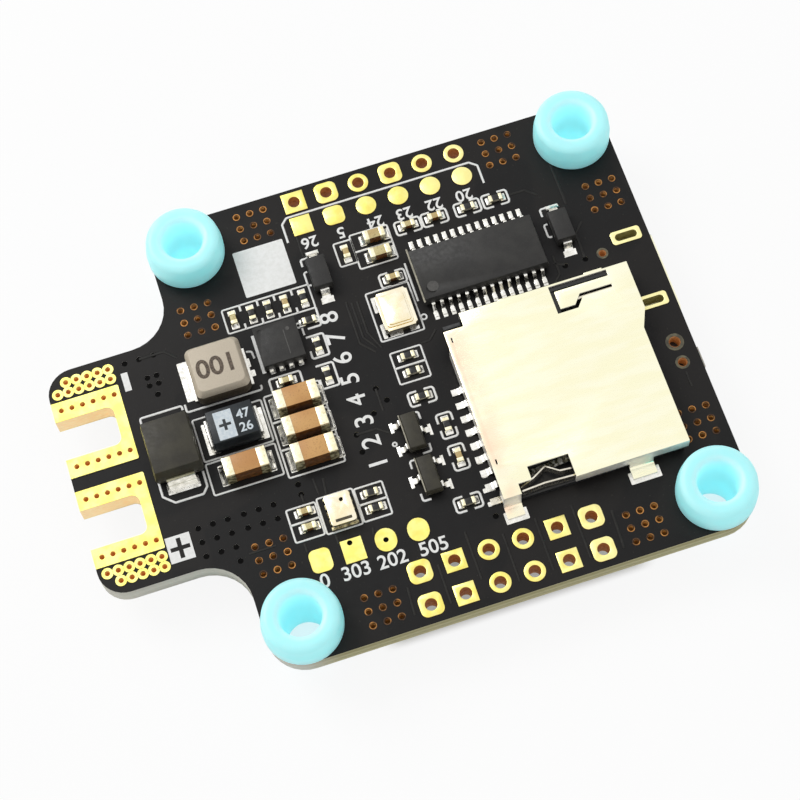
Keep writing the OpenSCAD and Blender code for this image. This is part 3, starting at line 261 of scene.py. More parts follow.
def goldColor(p):
    # plating: deep at the battery end, paler towards the card slot's side
    deep = blotches((246, 231, 122), (252, 241, 148), 0.9)(p)
    return p.mix(p.step(p.axis("X"), 0.0, 12 * mm) * 0.75, deep, tone(255, 248, 192))


def mouldColor(dark, light):
    def color(p):
        base = p.mix(p.step(p.noise(1.5, 2), 0.35, 0.65), dark, light)
        fleck = p.step(p.noise(0.045, 1), 0.62, 0.72)
        return p.mix(fleck * 0.4, base, tone(84, 82, 78))
    return color


def solderRough(p):
    return 0.14 + 0.3 * p.step(p.noise(0.22, 3), 0.35, 0.7)


finishes = {
    "mask": finish("solderMask", maskColor, between(0.36, 0.48, 0.7), maskBump, Specular_IOR_Level=0.2),
    "laminate": finish("glassLaminate", laminateColor, between(0.5, 0.75, 0.3), grain(0.12, 0.02)),
    "gold": finish("platedGold", goldColor, between(0.3, 0.42, 0.35), grain(0.14, 0.004), Metallic=1.0),
    # the via barrels' emission is a painted glow: the copper gives off light, though it is no lamp
    "barrel": finish(
        "plainCopperPaintedGlow", blotches((92, 56, 22), (196, 140, 66), 0.3, 0.4, 0.64), between(0.34, 0.5, 0.2),
        grain(0.1, 0.01), Metallic=0.2, Emission_Color=tone(140, 94, 42), Emission_Strength=0.1),
    # the via linings' emission is a painted glow: the copper gives off light, though it is no lamp
    "lining": finish(
        "brightCopperPaintedGlow", blotches((160, 90, 30), (222, 160, 80), 0.22), between(0.34, 0.5, 0.2),
        grain(0.1, 0.01), Metallic=0.2, Emission_Color=tone(188, 112, 50), Emission_Strength=0.28),
    "ring": finish(
        "tentedRing", blotches((70, 46, 28), (204, 140, 70), 0.9, 0.38, 0.62), between(0.3, 0.44, 0.2),
        grain(0.1, 0.01), Metallic=0.4),
    # the bores' emission is a painted glow: the hole walls give off light, though they are no lamp
    "bore": finish(
        "brownBorePaintedGlow", blotches((124, 78, 36), (170, 118, 68), 0.3), between(0.4, 0.6, 0.2),
        grain(0.1, 0.01), Emission_Color=tone(128, 74, 34), Emission_Strength=0.4),
    # the slot bores' emission is a painted glow: the walls give off light, though they are no lamp
    "slotBore": finish(
        "oliveBorePaintedGlow", blotches((98, 92, 48), (140, 132, 80), 0.3), between(0.4, 0.6, 0.2),
        grain(0.1, 0.01), Emission_Color=tone(96, 88, 44), Emission_Strength=0.3),
    "tent": finish(
        "sunkenMask", blotches((3, 3, 3), (9, 8, 7), 0.3), between(0.5, 0.7, 0.2), grain(0.1, 0.02),
        Specular_IOR_Level=0.05),
    "tentRim": finish(
        "thinMaskRim", blotches((66, 62, 48), (112, 106, 82), 0.5), between(0.36, 0.5, 0.2),
        grain(0.1, 0.01)),
    # the milled walls' emission is a painted glow: the gold gives off light, though it is no lamp
    "wall": finish(
        "milledGoldPaintedGlow", blotches((253, 222, 170), (255, 238, 196), 0.5, stretch=(1, 1, 6)),
        between(0.4, 0.56, 0.3), grain(0.2, 0.006, (1, 1, 8)), Metallic=0.1,
        Emission_Color=tone(252, 214, 160), Emission_Strength=0.22),
    "silk": finish(
        "whiteInk", blotches((246, 246, 243), (254, 254, 252), 0.35), between(0.5, 0.7, 0.2),
        grain(0.07, 0.006)),
    "trace": finish(
        "raisedMask", blotches((30, 29, 27), (39, 38, 35), 0.6), between(0.36, 0.48, 0.3),
        grain(0.13, 0.006), Specular_IOR_Level=0.25),
    # the silicone's emission is a painted glow that stands in for light passing through it, and
    # siliconeColor paints highlights and light at rims and bore
    "silicone": finish(
        "softSiliconePaintedLight", siliconeColor, between(0.3, 0.42, 0.8), grain(0.5, 0.008), Subsurface_Weight=0.7,
        Subsurface_Scale=0.003, Subsurface_Radius=(0.6, 1.0, 1.0), Emission_Color=tone(160, 244, 252),
        Emission_Strength=0.21),
    "mould": finish(
        "mouldedEpoxy", mouldColor(tone(41, 40, 39), tone(50, 49, 47)), between(0.44, 0.58, 0.3),
        grain(0.06, 0.008), Specular_IOR_Level=0.35),
    "mouldBrown": finish(
        "brownEpoxy", mouldColor(tone(48, 45, 37), tone(60, 57, 46)), between(0.42, 0.56, 0.3),
        grain(0.06, 0.008), Specular_IOR_Level=0.35),
    "mouldBlue": finish(
        "slateEpoxy", mouldColor(tone(26, 32, 36), tone(34, 41, 46)), between(0.34, 0.44, 0.3),
        grain(0.08, 0.005), Specular_IOR_Level=0.35),
    "dimple": finish(
        "polishedDimple", blotches((66, 65, 63), (80, 78, 75), 0.2), between(0.3, 0.4, 0.2),
        grain(0.1, 0.004)),
    "tin": finish(
        "brightTin", blotches((232, 230, 222), (252, 250, 244), 0.4), solderRough, grain(0.2, 0.012),
        Metallic=1.0),
    "cover": finish(
        "rolledSteel", coverColor, between(0.22, 0.3, 0.3, (1, 14, 1)), grain(0.12, 0.0015, (1, 16, 1)),
        Metallic=1.0),
    # the cover's side walls are pale and only partly metallic: a painted reflection of the bright strip seen
    # along them
    "coverSide": finish(
        "foldedSteelPaintedReflection", blotches((236, 232, 222), (254, 250, 242), 0.8), between(0.3, 0.46, 0.3),
        grain(0.1, 0.003), Metallic=0.35),
    "steel": finish(
        "springSteel", blotches((214, 208, 192), (238, 232, 216), 0.5), between(0.16, 0.3, 0.3),
        grain(0.15, 0.003), Metallic=1.0),
    "lid": finish(
        "paleLid", blotches((248, 234, 196), (253, 245, 222), 1.6), between(0.24, 0.32, 0.4),
        grain(0.5, 0.001), Metallic=1.0),
    "lidEdge": finish(
        "goldEdge", blotches((196, 160, 62), (230, 198, 96), 0.4), between(0.3, 0.42, 0.2),
        grain(0.1, 0.004), Metallic=0.9),
    "tray": finish(
        "ceramicTray", blotches((46, 40, 28), (84, 74, 48), 0.3), between(0.4, 0.6, 0.2),
        grain(0.08, 0.008)),
    "plastic": finish(
        "glassFilledPlastic", mouldColor(tone(26, 26, 27), tone(34, 34, 35)), between(0.4, 0.55, 0.4),
        grain(0.1, 0.008)),
    "palePlastic": finish(
        "paleNylon", blotches((196, 194, 184), (212, 210, 200), 0.5), between(0.4, 0.5, 0.3),
        grain(0.1, 0.006), Subsurface_Weight=0.1, Subsurface_Scale=0.0005),
    "ferrite": finish(
        "pressedPowder", blotches((208, 196, 176), (172, 160, 142), 0.05, 0.45, 0.75, 2),
        between(0.42, 0.6, 0.25), grain(0.05, 0.012), Metallic=0.1),
    # the inductor's sides are darker than its pressed top: painted shade
    "ferriteSide": finish(
        "powderSidePaintedShade", blotches((84, 74, 58), (58, 50, 38), 0.09, 0.4, 0.7), between(0.5, 0.7, 0.2),
        grain(0.06, 0.02)),
    "tan": finish("firedCeramic", capColor, between(0.3, 0.42, 0.2), grain(0.1, 0.005)),
    # the capacitors' sides are darker brown than their tops: painted shade
    "tanSide": finish(
        "firedSidePaintedShade", blotches((88, 52, 20), (124, 78, 34), 0.3), between(0.34, 0.5, 0.2),
        grain(0.1, 0.008)),
    "paleTan": finish("paleCeramic", paleCapColor, between(0.3, 0.42, 0.2), grain(0.1, 0.005)),
    # dark and pale blotches on the tinned ends' sides, darker than their tops: painted dark reflections
    "endSide": finish(
        "dippedSidePaintedReflection", blotches((92, 80, 48), (206, 196, 156), 0.3, 0.4, 0.62), between(0.3, 0.5, 0.15),
        grain(0.12, 0.012), Metallic=0.5),
    "leadGrey": finish(
        "formedLead", blotches((132, 128, 102), (178, 174, 148), 1.4), between(0.26, 0.34, 0.5),
        grain(0.3, 0.003), Metallic=0.8),
    "end": finish(
        "dippedEnd", blotches((240, 230, 188), (254, 248, 216), 0.3, 0.3, 0.6), between(0.26, 0.44, 0.15),
        grain(0.12, 0.01), Metallic=0.9),
    "alumina": finish(
        "whiteAlumina", blotches((150, 146, 130), (182, 176, 158), 0.2), between(0.4, 0.6, 0.2),
        grain(0.06, 0.006)),
    "glaze": finish(
        "blackGlaze", blotches((22, 22, 22), (36, 35, 33), 0.2), between(0.24, 0.36, 0.2),
        grain(0.15, 0.006)),
    "ink": finish(
        "burntMark", blotches((58, 48, 40), (112, 98, 84), 0.08, 0.35, 0.6), between(0.6, 0.8, 0.2),
        grain(0.06, 0.01)),
    "paleInk": finish(
        "paleMark", blotches((206, 218, 226), (226, 234, 238), 0.2), between(0.4, 0.6, 0.2),
        grain(0.06, 0.004)),
    "lens": finish(
        "clearEpoxy", blotches((226, 230, 196), (240, 242, 214), 0.3), between(0.1, 0.2, 0.3),
        grain(0.3, 0.004), Subsurface_Weight=0.4, Subsurface_Scale=0.0004, Coat_Weight=0.5),
    "alloy": finish(
        "shuntAlloy", blotches((58, 56, 54), (74, 70, 66), 0.4), between(0.4, 0.55, 0.3),
        grain(0.08, 0.006)),
}
print("finishes made:", len(finishes))


def alone(piece):
    bpy.ops.object.select_all(action="DESELECT")
    piece.select_set(True)
    bpy.context.view_layer.objects.active = piece
    return piece


def opened(piece):
    # edit mode, with the whole mesh selected
    alone(piece)
    bpy.ops.object.mode_set(mode="EDIT")
    bpy.ops.mesh.select_all(action="SELECT")


def weld(piece, gap=0.0004):
    opened(piece)
    bpy.ops.mesh.remove_doubles(threshold=gap)
    bpy.ops.mesh.normals_make_consistent(inside=False)
    bpy.ops.object.mode_set(mode="OBJECT")
    return piece


def merged(name, pieces):
    bpy.ops.object.select_all(action="DESELECT")
    for piece in pieces:
        piece.select_set(True)
    bpy.context.view_layer.objects.active = pieces[0]
    if len(pieces) > 1:
        bpy.ops.object.join()
    pieces[0].name = name
    return pieces[0]


def paintWalls(piece, index):
    for face in piece.data.polygons:
        if abs(face.normal.z) < 0.5:
            face.material_index = index


def camel(node):
    words = node.split("_")
    return words[0] + "".join(word.capitalize() for word in words[1:])


def done(piece, name, paints, body="board", stands=(), smooth=None):
    # from mm at the end of modelling to its place in the frame, with finishes and what it stands for
    piece.name = name
    piece.data.name = name
    if smooth:
        alone(piece)
        bpy.ops.object.shade_smooth_by_angle(angle=math.radians(smooth))
    piece.data.transform(Matrix.Scale(mm, 4))
    if paints:
        piece.data.materials.clear()
        for paint in paints:
            piece.data.materials.append(finishes[paint])
        if len(paints) > 1:
            paintWalls(piece, 1)
    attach(piece, body)
    if stands:
        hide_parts(*stands)
    return piece


def rounded(points, closed=True, steps=5):
    # a path whose corners (x, y, radius) are turned into arcs
    path = []
    for index, (x, y, radius) in enumerate(points):
        corner = Vector((x, y))
        if radius == 0 or (not closed and index in (0, len(points) - 1)):
            path.append(corner)
            continue
        back = (Vector(points[index - 1][:2]) - corner).normalized()
        on = (Vector(points[(index + 1) % len(points)][:2]) - corner).normalized()
        half = back.angle(on) / 2
        centre = corner + (back + on).normalized() * radius / math.sin(half)
        start = corner + back * radius / math.tan(half) - centre
        end = corner + on * radius / math.tan(half) - centre
        path += [centre + start.slerp(end, k / steps) * radius for k in range(steps + 1)]
    return path


def rectangle(x, y, w, d, radius=0.0):
    return rounded([(x + w / 2, y - d / 2, radius), (x + w / 2, y + d / 2, radius),
                    (x - w / 2, y + d / 2, radius), (x - w / 2, y - d / 2, radius)])


def circle(x, y, diameter, count=12):
    turns = [2 * math.pi * k / count for k in range(count)]
    return [Vector((x + diameter / 2 * math.cos(a), y + diameter / 2 * math.sin(a))) for a in turns]


def pathCurve(name, outlines, closed):
    line = bpy.data.curves.new(name, "CURVE")
    for outline in outlines:
        spline = line.splines.new("POLY")
        spline.points.add(len(outline) - 1)
        for point, place in zip(spline.points, outline):
            point.co = (place[0], place[1], 0, 1)
        spline.use_cyclic_u = closed
    piece = bpy.data.objects.new(name, line)
    scene.collection.objects.link(piece)
    return piece


def meshed(piece):
    alone(piece)
    bpy.ops.object.convert(target="MESH")
    bpy.ops.object.transform_apply(location=True, rotation=True, scale=True)
    return bpy.context.object


def cutShape(name, outlines, low, high):
    # closed outlines, those inside others being holes, pulled up from low to high
    piece = pathCurve(name, outlines, True)
    piece.data.dimensions = "2D"
    piece.data.fill_mode = "BOTH"
    piece.data.extrude = (high - low) / 2
    piece.location.z = (high + low) / 2
    return weld(meshed(piece))


def drawn(name, strokes, z, width=0.2, thick=0.03, closed=False):
    # printed lines: round pens pressed flat
    piece = pathCurve(name, strokes, closed)
    piece.data.dimensions = "3D"
    piece.data.bevel_depth = width / 2
    piece.data.bevel_resolution = 1
    piece.data.use_fill_caps = True
    piece.scale.z = 2 * thick / width
    piece.location.z = z
    return meshed(piece)


def lettered(text, x, y, size, z, turn=0.0, thick=0.012, weight=0.02):
    bpy.ops.object.select_all(action="DESELECT")
    bpy.ops.object.text_add(location=(x, y, z), rotation=(0, math.pi if z < underZ + 0.1 else 0, turn))
    piece = bpy.context.object
    piece.data.body = text
    piece.data.size = size
    piece.data.align_x = "CENTER"
    piece.data.align_y = "CENTER"
    piece.data.extrude = thick
    piece.data.offset = weight
    return meshed(piece)


# The board: one laminate with every hole that is drilled through it
board = {
    "half": 18.0, "cornerR": 2.8, "tabX": -28.0, "tabHalf": 9.0, "tabCornerR": 2.0, "tabFilletR": 3.2,
    "padTop": 6.65, "padLow": 0.55, "edgeLining": 0.06, "slotTop": 5.15, "slotLow": 2.05, "slotEnd": -23.7,
    "slotR": 0.6, "mountHole": 4.0, "wireHole": 1.02, "pitch": 2.54, "rowX": -6.35,
    "rows": (16.85, -16.65, -14.11), "legX": 16.3, "legY": (6.0, 0.3), "legSlot": (1.82, 0.72),
    "viaHole": 0.4, "smallHole": 0.44,
    # x, y, hole and ring of each
    "pegs": ((16.65, -3.33, 0.9, 1.36), (16.63, -5.02, 0.74, 1.06), (14.15, 5.18, 0.6, 0.88)),
}


def slotEdge(grow):
    # down the tab's end and round one wire slot, set back into the board by grow
    face, end, radius = board["tabX"] + grow, board["slotEnd"] + grow, board["slotR"] + grow
    high, low = board["slotTop"] + grow, board["slotLow"] - grow
    return [(face, board["padTop"], 0), (face, high, 0), (end, high, radius), (end, low, radius),
            (face, low, 0), (face, board["padLow"], 0)]


def tabSide(side):
    # half of the battery tab's edge, from its waist to the middle
    tabX, tabY = board["tabX"], board["tabHalf"]
    half = [(-board["half"], tabY, board["tabFilletR"]), (tabX, tabY, board["tabCornerR"]),
            (tabX, board["padTop"], 0)]
    half += slotEdge(board["edgeLining"]) + [(tabX, board["padLow"], 0)]
    return half if side > 0 else [(x, -y, r) for x, y, r in reversed(half)]


def boardOutline():
    half, radius = board["half"], board["cornerR"]
    corners = [(half, -half, radius), (half, half, radius), (-half, half, radius)]
    return rounded(corners + tabSide(1) + tabSide(-1) + [(-half, -half, radius)], steps=8)


wireHoles = [(board["rowX"] + board["pitch"] * i, y) for y in board["rows"] for i in range(6)]

# Vias: squares of nine beside the mounting holes, chains beside the battery terminals, single small ones
clusterPitch = 1.05
clusterPlaces = [(-9.8, 16), (-15.9, 9.85), (9.7, 16.05), (15.9, 9.85), (15.95, -9.75), (9.75, -15.8),
                 (-9.6, -15.75), (-15.8, -9.7)]
clusterVias = [(x + clusterPitch * i, y + clusterPitch * j)
               for x, y in clusterPlaces for i in (-1, 0, 1) for j in (-1, 0, 1)]
chainPitch = 0.8
chainVias = [(-26.5 + chainPitch * i, y) for y in (8.05, -8.0) for i in range(5)]
chainVias += [(-27.3 + chainPitch * i, y) for y in (7.25, -7.2) for i in range(6)]
padVias = [(-27.35 + chainPitch * i, y) for y in (5.95, 1.35, -1.3, -5.9) for i in range(6)]
padVias += [(-10.4, -10.5), (-7.9, -11.1)]
smallVias = [(-22, 8.1), (-20.9, 8.1), (-19.8, 8.1), (-20.7, 6.45), (-20, 6.45), (-20.7, 5.8), (-20, 5.8),
             (-20.3, 4.95), (-18.1, -9.3), (-12.6, -5.1), (-12.6, -5.9), (-5.1, 0.2), (-4.6, -0.9),
             (-5.8, -1.6), (-7.5, -2.8), (-7.5, -4.2), (0, -11.9), (11.2, 5.1), (12.8, 5.15)]
smallVias += [(x, y) for x in (-20.3, -19.2, -18.1, -16.9, -15.8, -14.7) for y in (-6, -7.1)]
smallVias += [(x, -8.2) for x in (-20.3, -19.2, -18.1)]

holes = [circle(x * mountAt, y * mountAt, board["mountHole"], 64) for x in (-1, 1) for y in (-1, 1)]
holes += [circle(x, y, board["wireHole"], 28) for x, y in wireHoles]
holes += [rounded([(board["legX"] + sx * board["legSlot"][0] / 2, y + sy * board["legSlot"][1] / 2,
                    board["legSlot"][1] / 2 - 0.01) for sx, sy in ((1, -1), (1, 1), (-1, 1), (-1, -1))])
          for y in board["legY"]]
holes += [circle(x, y, hole, 28) for x, y, hole, ring in board["pegs"]]
holes += [circle(x, y, board["viaHole"]) for x, y in clusterVias + chainVias + padVias]
holes += [circle(x, y, board["smallHole"]) for x, y in smallVias]
laminate = cutShape("laminate", [boardOutline()] + holes, underZ, topZ)
done(laminate, "boardLaminate", ["mask", "laminate"], stands=["circuit_board"])
print("board made, holes:", len(holes))


# Plated rings and barrels of the vias
via = {"lining": 0.035, "ringBite": 0.07, "clusterRing": 0.56, "chainRing": 0.84, "fit": 0.02,
       "proud": 0.02, "chainProud": 0.05, "sunk": 0.01}


def ringsAt(places, outer, inner, count=12):
    return [ring for x, y in places for ring in (circle(x, y, outer, count), circle(x, y, inner, count))]


def barrels(places, outer, proud):
    outlines = ringsAt(places, outer, board["viaHole"] - 2 * via["lining"])
    return cutShape("barrels", outlines, underZ - proud, topZ + proud)


clusterBarrels = barrels(clusterVias, board["viaHole"] + via["fit"], via["proud"])
rings = ringsAt(clusterVias, via["clusterRing"], board["viaHole"] - via["ringBite"])
clusterRings = [cutShape("clusterRings", rings, low, low + via["proud"])
                for low in (topZ, underZ - via["proud"])]
done(merged("viaClusters", [clusterBarrels] + clusterRings), "viaClusters", ["ring", "barrel"])

chainRings = []
for share in (0, 1):  # neighbours overlap, so each second one is cut in its own shape
    for low in (topZ, underZ - via["chainProud"]):
        rings = ringsAt(chainVias[share::2], via["chainRing"], board["viaHole"], 20)
        chainRings.append(cutShape("chainRings", rings, low, low + via["chainProud"]))
done(merged("viaChains", chainRings), "viaChains", ["gold"])
linings = barrels(chainVias + padVias[:-2], board["viaHole"], -via["sunk"])
done(linings, "viaLinings", ["lining"])
plugs = [circle(x, y, board["smallHole"]) for x, y in smallVias]
plugs += [circle(x, y, board["viaHole"]) for x, y in padVias[-2:]]
done(cutShape("plugs", plugs, underZ + via["sunk"], topZ - via["sunk"]), "maskedVias", ["tent"])

# Plain copper rings and sleeves of the button's peg holes and of the tooling hole
peg = {"inset": 0.04, "proud": 0.02, "sleeve": 0.09, "bite": 0.03}
rims = []
sleeves = []
for x, y, hole, ring in board["pegs"]:
    bore = hole - peg["inset"]
    rims += [circle(x, y, ring, 32), circle(x, y, bore, 32)]
    sleeves += [circle(x, y, bore + peg["bite"], 32), circle(x, y, bore + peg["bite"] - peg["sleeve"], 32)]
pegParts = [cutShape("rim", rims, low, low + peg["proud"]) for low in (topZ, underZ - peg["proud"])]
done(merged("pegRims", pegParts), "pegRims", ["tentRim"])
sleeve = cutShape("sleeve", sleeves, underZ - peg["proud"], topZ + peg["proud"])
done(sleeve, "pegSleeves", ["bore"])

# Battery terminals: two faces and the milled wall of each wire slot
battery = {"copper": 0.07, "end": -22.9, "cornerR": 0.12}


def onSide(path, side):
    return rounded([(x, y * side, r) for x, y, r in path], steps=8)


def batteryOutline(side):
    end, radius = battery["end"], battery["cornerR"]
    return onSide(slotEdge(0) + [(end, board["padLow"], radius), (end, board["padTop"], radius)], side)


def slotWall(side):
    return onSide(slotEdge(0) + slotEdge(board["edgeLining"])[::-1], side)


faces = []
for side in (-1, 1):
    drills = [circle(x, y, board["viaHole"]) for x, y in padVias if x < battery["end"] and y * side > 0]
    for low in (topZ, underZ - battery["copper"]):
        faces.append(cutShape("face", [batteryOutline(side)] + drills, low, low + battery["copper"]))
batteryFaces = merged("batteryFaces", faces)
walls = [cutShape("wall", [slotWall(side)], underZ, topZ) for side in (-1, 1)]
batteryWalls = merged("batteryWalls", walls)
for face in batteryWalls.data.polygons:
    face.material_index = 1
for piece in (batteryFaces, batteryWalls):
    piece.data.materials.append(finishes["gold"])
    piece.data.materials.append(finishes["wall"])
done(merged("batteryTerminals", [batteryFaces, batteryWalls]), "batteryTerminals", None,
     stands=["battery_terminals"], smooth=30)
print("vias and battery terminals made")


def softened(node, width, paints, smooth=35):
    # a copy of a node's mesh with its corners worn round, which stands for the node
    name = camel(node)
    piece = bpy.data.objects.new(name, frame["nodes"][node].data.copy())
    scene.collection.objects.link(piece)
    piece.data.transform(Matrix.Scale(1 / mm, 4))
    opened(piece)
    bpy.ops.mesh.customdata_custom_splitnormals_clear()
    bpy.ops.mesh.remove_doubles(threshold=0.0004)
    bpy.ops.mesh.dissolve_limited(angle_limit=math.radians(0.8))
    bpy.ops.mesh.normals_make_consistent(inside=False)
    bpy.ops.object.mode_set(mode="OBJECT")
    bevel = piece.modifiers.new("edges", "BEVEL")
    bevel.width = width
    bevel.segments = 2
    bevel.limit_method = "ANGLE"
    bevel.angle_limit = math.radians(38)
    bpy.ops.object.modifier_apply(modifier=bevel.name)
    body = frame["nodes"][node]["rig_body"]
    return done(piece, name, paints, body, [node], smooth)


softEdges = {
    "back_row_pads": (0.02, "gold bore"), "front_header_pads": (0.02, "gold bore"),
    "usb_slot_pads": (0.02, "gold slotBore"), "power_pads": (0.02, "gold"),
    "overlay_chip_body": (0.05, "mould"), "overlay_chip_leads": (0.02, "tin"),
    "crystal_base": (0.04, "lid tray"), "crystal_lid": (0.05, "lid lidEdge"),
    "card_slot_cover": (0.02, "cover coverSide"), "card_slot_base": (0.03, "plastic"),
    "inductor_body": (0.16, "ferrite ferriteSide"), "inductor_terminals": (0.04, "tin"),
    "surge_diode_body": (0.09, "mouldBrown"), "surge_diode_leads": (0.04, "leadGrey tin"),
    "tantalum_body": (0.08, "mouldBlue"), "tantalum_terminals": (0.04, "tin"),
    "buck_converter_body": (0.03, "mould"), "buck_converter_pads": (0.02, "tin"),
    "large_capacitor_bodies": (0.06, "tan tanSide"), "large_capacitor_ends": (0.12, "end endSide"),
    "small_capacitor_bodies": (0.02, "paleTan tanSide"), "small_capacitor_ends": (0.05, "end"),
    "resistor_bodies": (0.01, "alumina"), "resistor_coats": (0.01, "glaze"),
    "resistor_ends": (0.03, "end"), "small_diode_bodies": (0.06, "mould"),
    "small_diode_leads": (0.02, "tin"), "transistor_bodies": (0.05, "mouldBrown"),
    "transistor_leads": (0.02, "tin"), "barometer_base": (0.02, "endSide tray"),
    "barometer_lid": (0.08, "lid"), "processor_body": (0.06, "mould"), "processor_leads": (0.02, "tin"),
    "motion_sensor": (0.03, "mould"), "clock_crystal_base": (0.04, "lid tray"),
    "clock_crystal_lid": (0.05, "lid lidEdge"), "usb_shell": (0.05, "cover steel"),
    "usb_tongue": (0.03, "plastic"), "boot_button_housing": (0.06, "plastic"),
    "boot_button_cover": (0.03, "steel"), "boot_button_plunger": (0.08, "palePlastic"),
    "status_lights": (0.05, "lens"), "current_shunt_body": (0.06, "alloy"),
    "current_shunt_ends": (0.06, "end"), "regulator_bodies": (0.05, "mould"),
    "regulator_leads": (0.02, "tin"), "card_eject_slider": (0.03, "plastic"),
}
for node, (width, paints) in softEdges.items():
    # the thin shell keeps flat faces
    softened(node, width, paints.split(), smooth=20 if node == "usb_shell" else 35)
# The ejector's spring, softened, with a mesh of its own; coil gives the slot's back wall, the spring's seat
# in the slider and the travel by which it shortens between them
coil = {"wall": 1.93, "seat": 8.23, "travel": 3.5, "y": 1.58, "z": 5.29, "wear": 0.02}
spring = softened("card_eject_spring", coil["wear"], ["steel"])
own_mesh(spring)
# Nodes that stay as they are, with a finish of their own
asBuilt = {"card_contacts": "tin", "card_detect_blades": "steel", "card_cam_pin": "steel",
           "usb_contacts": "gold", "boot_button_terminals": "tin"}
for node, paint in asBuilt.items():
    frame["nodes"][node].data.materials.clear()
    frame["nodes"][node].data.materials.append(finishes[paint])
print("parts softened:", len(softEdges))

# Sensor bus pads, two of them drilled
bus = {"x": -12.7, "pitch": 2.4, "y": -11.1, "w": 1.55, "d": 1.75, "copper": 0.07,
       "corners": (0.44, 0.04, 0.77, 0.77)}
padOutlines = [rectangle(bus["x"] + bus["pitch"] * i, bus["y"], bus["w"], bus["d"], radius)
               for i, radius in enumerate(bus["corners"])]
drills = [circle(x, y, board["viaHole"]) for x, y in padVias if x > battery["end"]]
done(cutShape("busPads", padOutlines + drills, topZ, topZ + bus["copper"]), "sensorBusPads", ["gold"],
     stands=["sensor_bus_pads"])

# Grommets: one section spun round each mounting hole
grommet = {"bore": 1.5, "flange": 2.89, "crown": 2.7, "waist": 1.95, "shoulder": 2.5, "foot": 1.95,
           "top": 6.8, "shoulderZ": 2.1, "flangeZ": 5.5, "steps": 72}
g = grommet
# radius, height and rounding of each corner, from the bore's foot out and up to the bore's mouth
section = rounded([(g["bore"], 0, 0.1), (g["foot"], 0, 0.15), (g["shoulder"], g["shoulderZ"], 0.3),
                   (g["shoulder"], underZ, 0.15), (g["waist"], underZ, 0.08), (g["waist"], topZ, 0.08),
                   (g["flange"], topZ, 0.3), (g["flange"], g["flangeZ"], 0.9), (g["crown"], g["top"], 0.5),
                   (g["bore"], g["top"], 0.42)], steps=7)
for nodeName in ("grommet_front_left", "grommet_front_right", "grommet_back_left", "grommet_back_right"):
    low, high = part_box(nodeName)
    middle = (low + high) / 2 / mm
    profile = pathCurve("section", [section], True)
    profile.data.dimensions = "3D"
    profile.rotation_euler = (math.pi / 2, 0, 0)
    profile.location = (middle.x, middle.y, 0)
    profile = meshed(profile)
    opened(profile)
    bpy.ops.mesh.spin(steps=g["steps"], angle=2 * math.pi, center=(middle.x, middle.y, 0), axis=(0, 0, 1))
    bpy.ops.mesh.select_all(action="SELECT")
    bpy.ops.mesh.remove_doubles(threshold=0.001)
    bpy.ops.mesh.normals_make_consistent(inside=False)
    bpy.ops.object.mode_set(mode="OBJECT")
    done(profile, camel(nodeName), ["silicone"], stands=[nodeName], smooth=60)
print("grommets spun")


def picked(piece, test):
    # leaves the piece in edit mode with only the corners that pass the test selected
    if piece.mode == "EDIT":
        bpy.ops.object.mode_set(mode="OBJECT")
    alone(piece)
    bpy.ops.object.mode_set(mode="EDIT")
    bpy.ops.mesh.select_mode(type="VERT")
    bpy.ops.mesh.select_all(action="DESELECT")
    bpy.ops.object.mode_set(mode="OBJECT")
    for vertex in piece.data.vertices:
        vertex.select = test(vertex.co)
    bpy.ops.object.mode_set(mode="EDIT")


# Solder: one wedge, hollow on its slope, copied to every joint
def solderWedge():
    # reaches out along +x from a part's end at x = 0, one high and one wide
    bpy.ops.object.select_all(action="DESELECT")
    bpy.ops.mesh.primitive_cube_add(size=1, location=(0.5, 0, 0.5))
    blob = bpy.context.object
    bpy.ops.object.transform_apply(location=True, rotation=True, scale=True)
    picked(blob, lambda co: co.x > 0.9 and co.z > 0.9)
    bpy.ops.transform.translate(value=(0, 0, -0.9))
    bpy.ops.transform.resize(value=(1, 0.8, 1), center_override=(1, 0, 0))
    picked(blob, lambda co: True)
    bpy.ops.mesh.subdivide(number_cuts=2)
    picked(blob, lambda co: 0.2 < co.x < 0.8 and co.z > 0.35)
    bpy.ops.transform.translate(value=(0, 0, -0.2))
    picked(blob, lambda co: abs(co.y) > 0.3 and co.z > 0.45)
    bpy.ops.transform.translate(value=(0, 0, -0.12))
    picked(blob, lambda co: co.z > 0.05)
    bpy.ops.mesh.bevel(offset=0.05, segments=2, affect="EDGES")
    bpy.ops.object.mode_set(mode="OBJECT")
    return blob


wedge = solderWedge()


def soldered(x, y, turn, reach, width, height, top=True, base=0.0):
    copy = bpy.data.objects.new("joint", wedge.data.copy())
    scene.collection.objects.link(copy)
    place = Matrix.Translation((x, y, (topZ if top else underZ)))
    size = Matrix.Diagonal((reach, width, height * (1 if top else -1), 1))
    shift = Matrix.Translation((base, 0, 0))
    copy.data.transform(place @ Matrix.Rotation(math.radians(turn), 4, "Z") @ shift @ size)
    if not top:
        copy.data.flip_normals()
    return copy


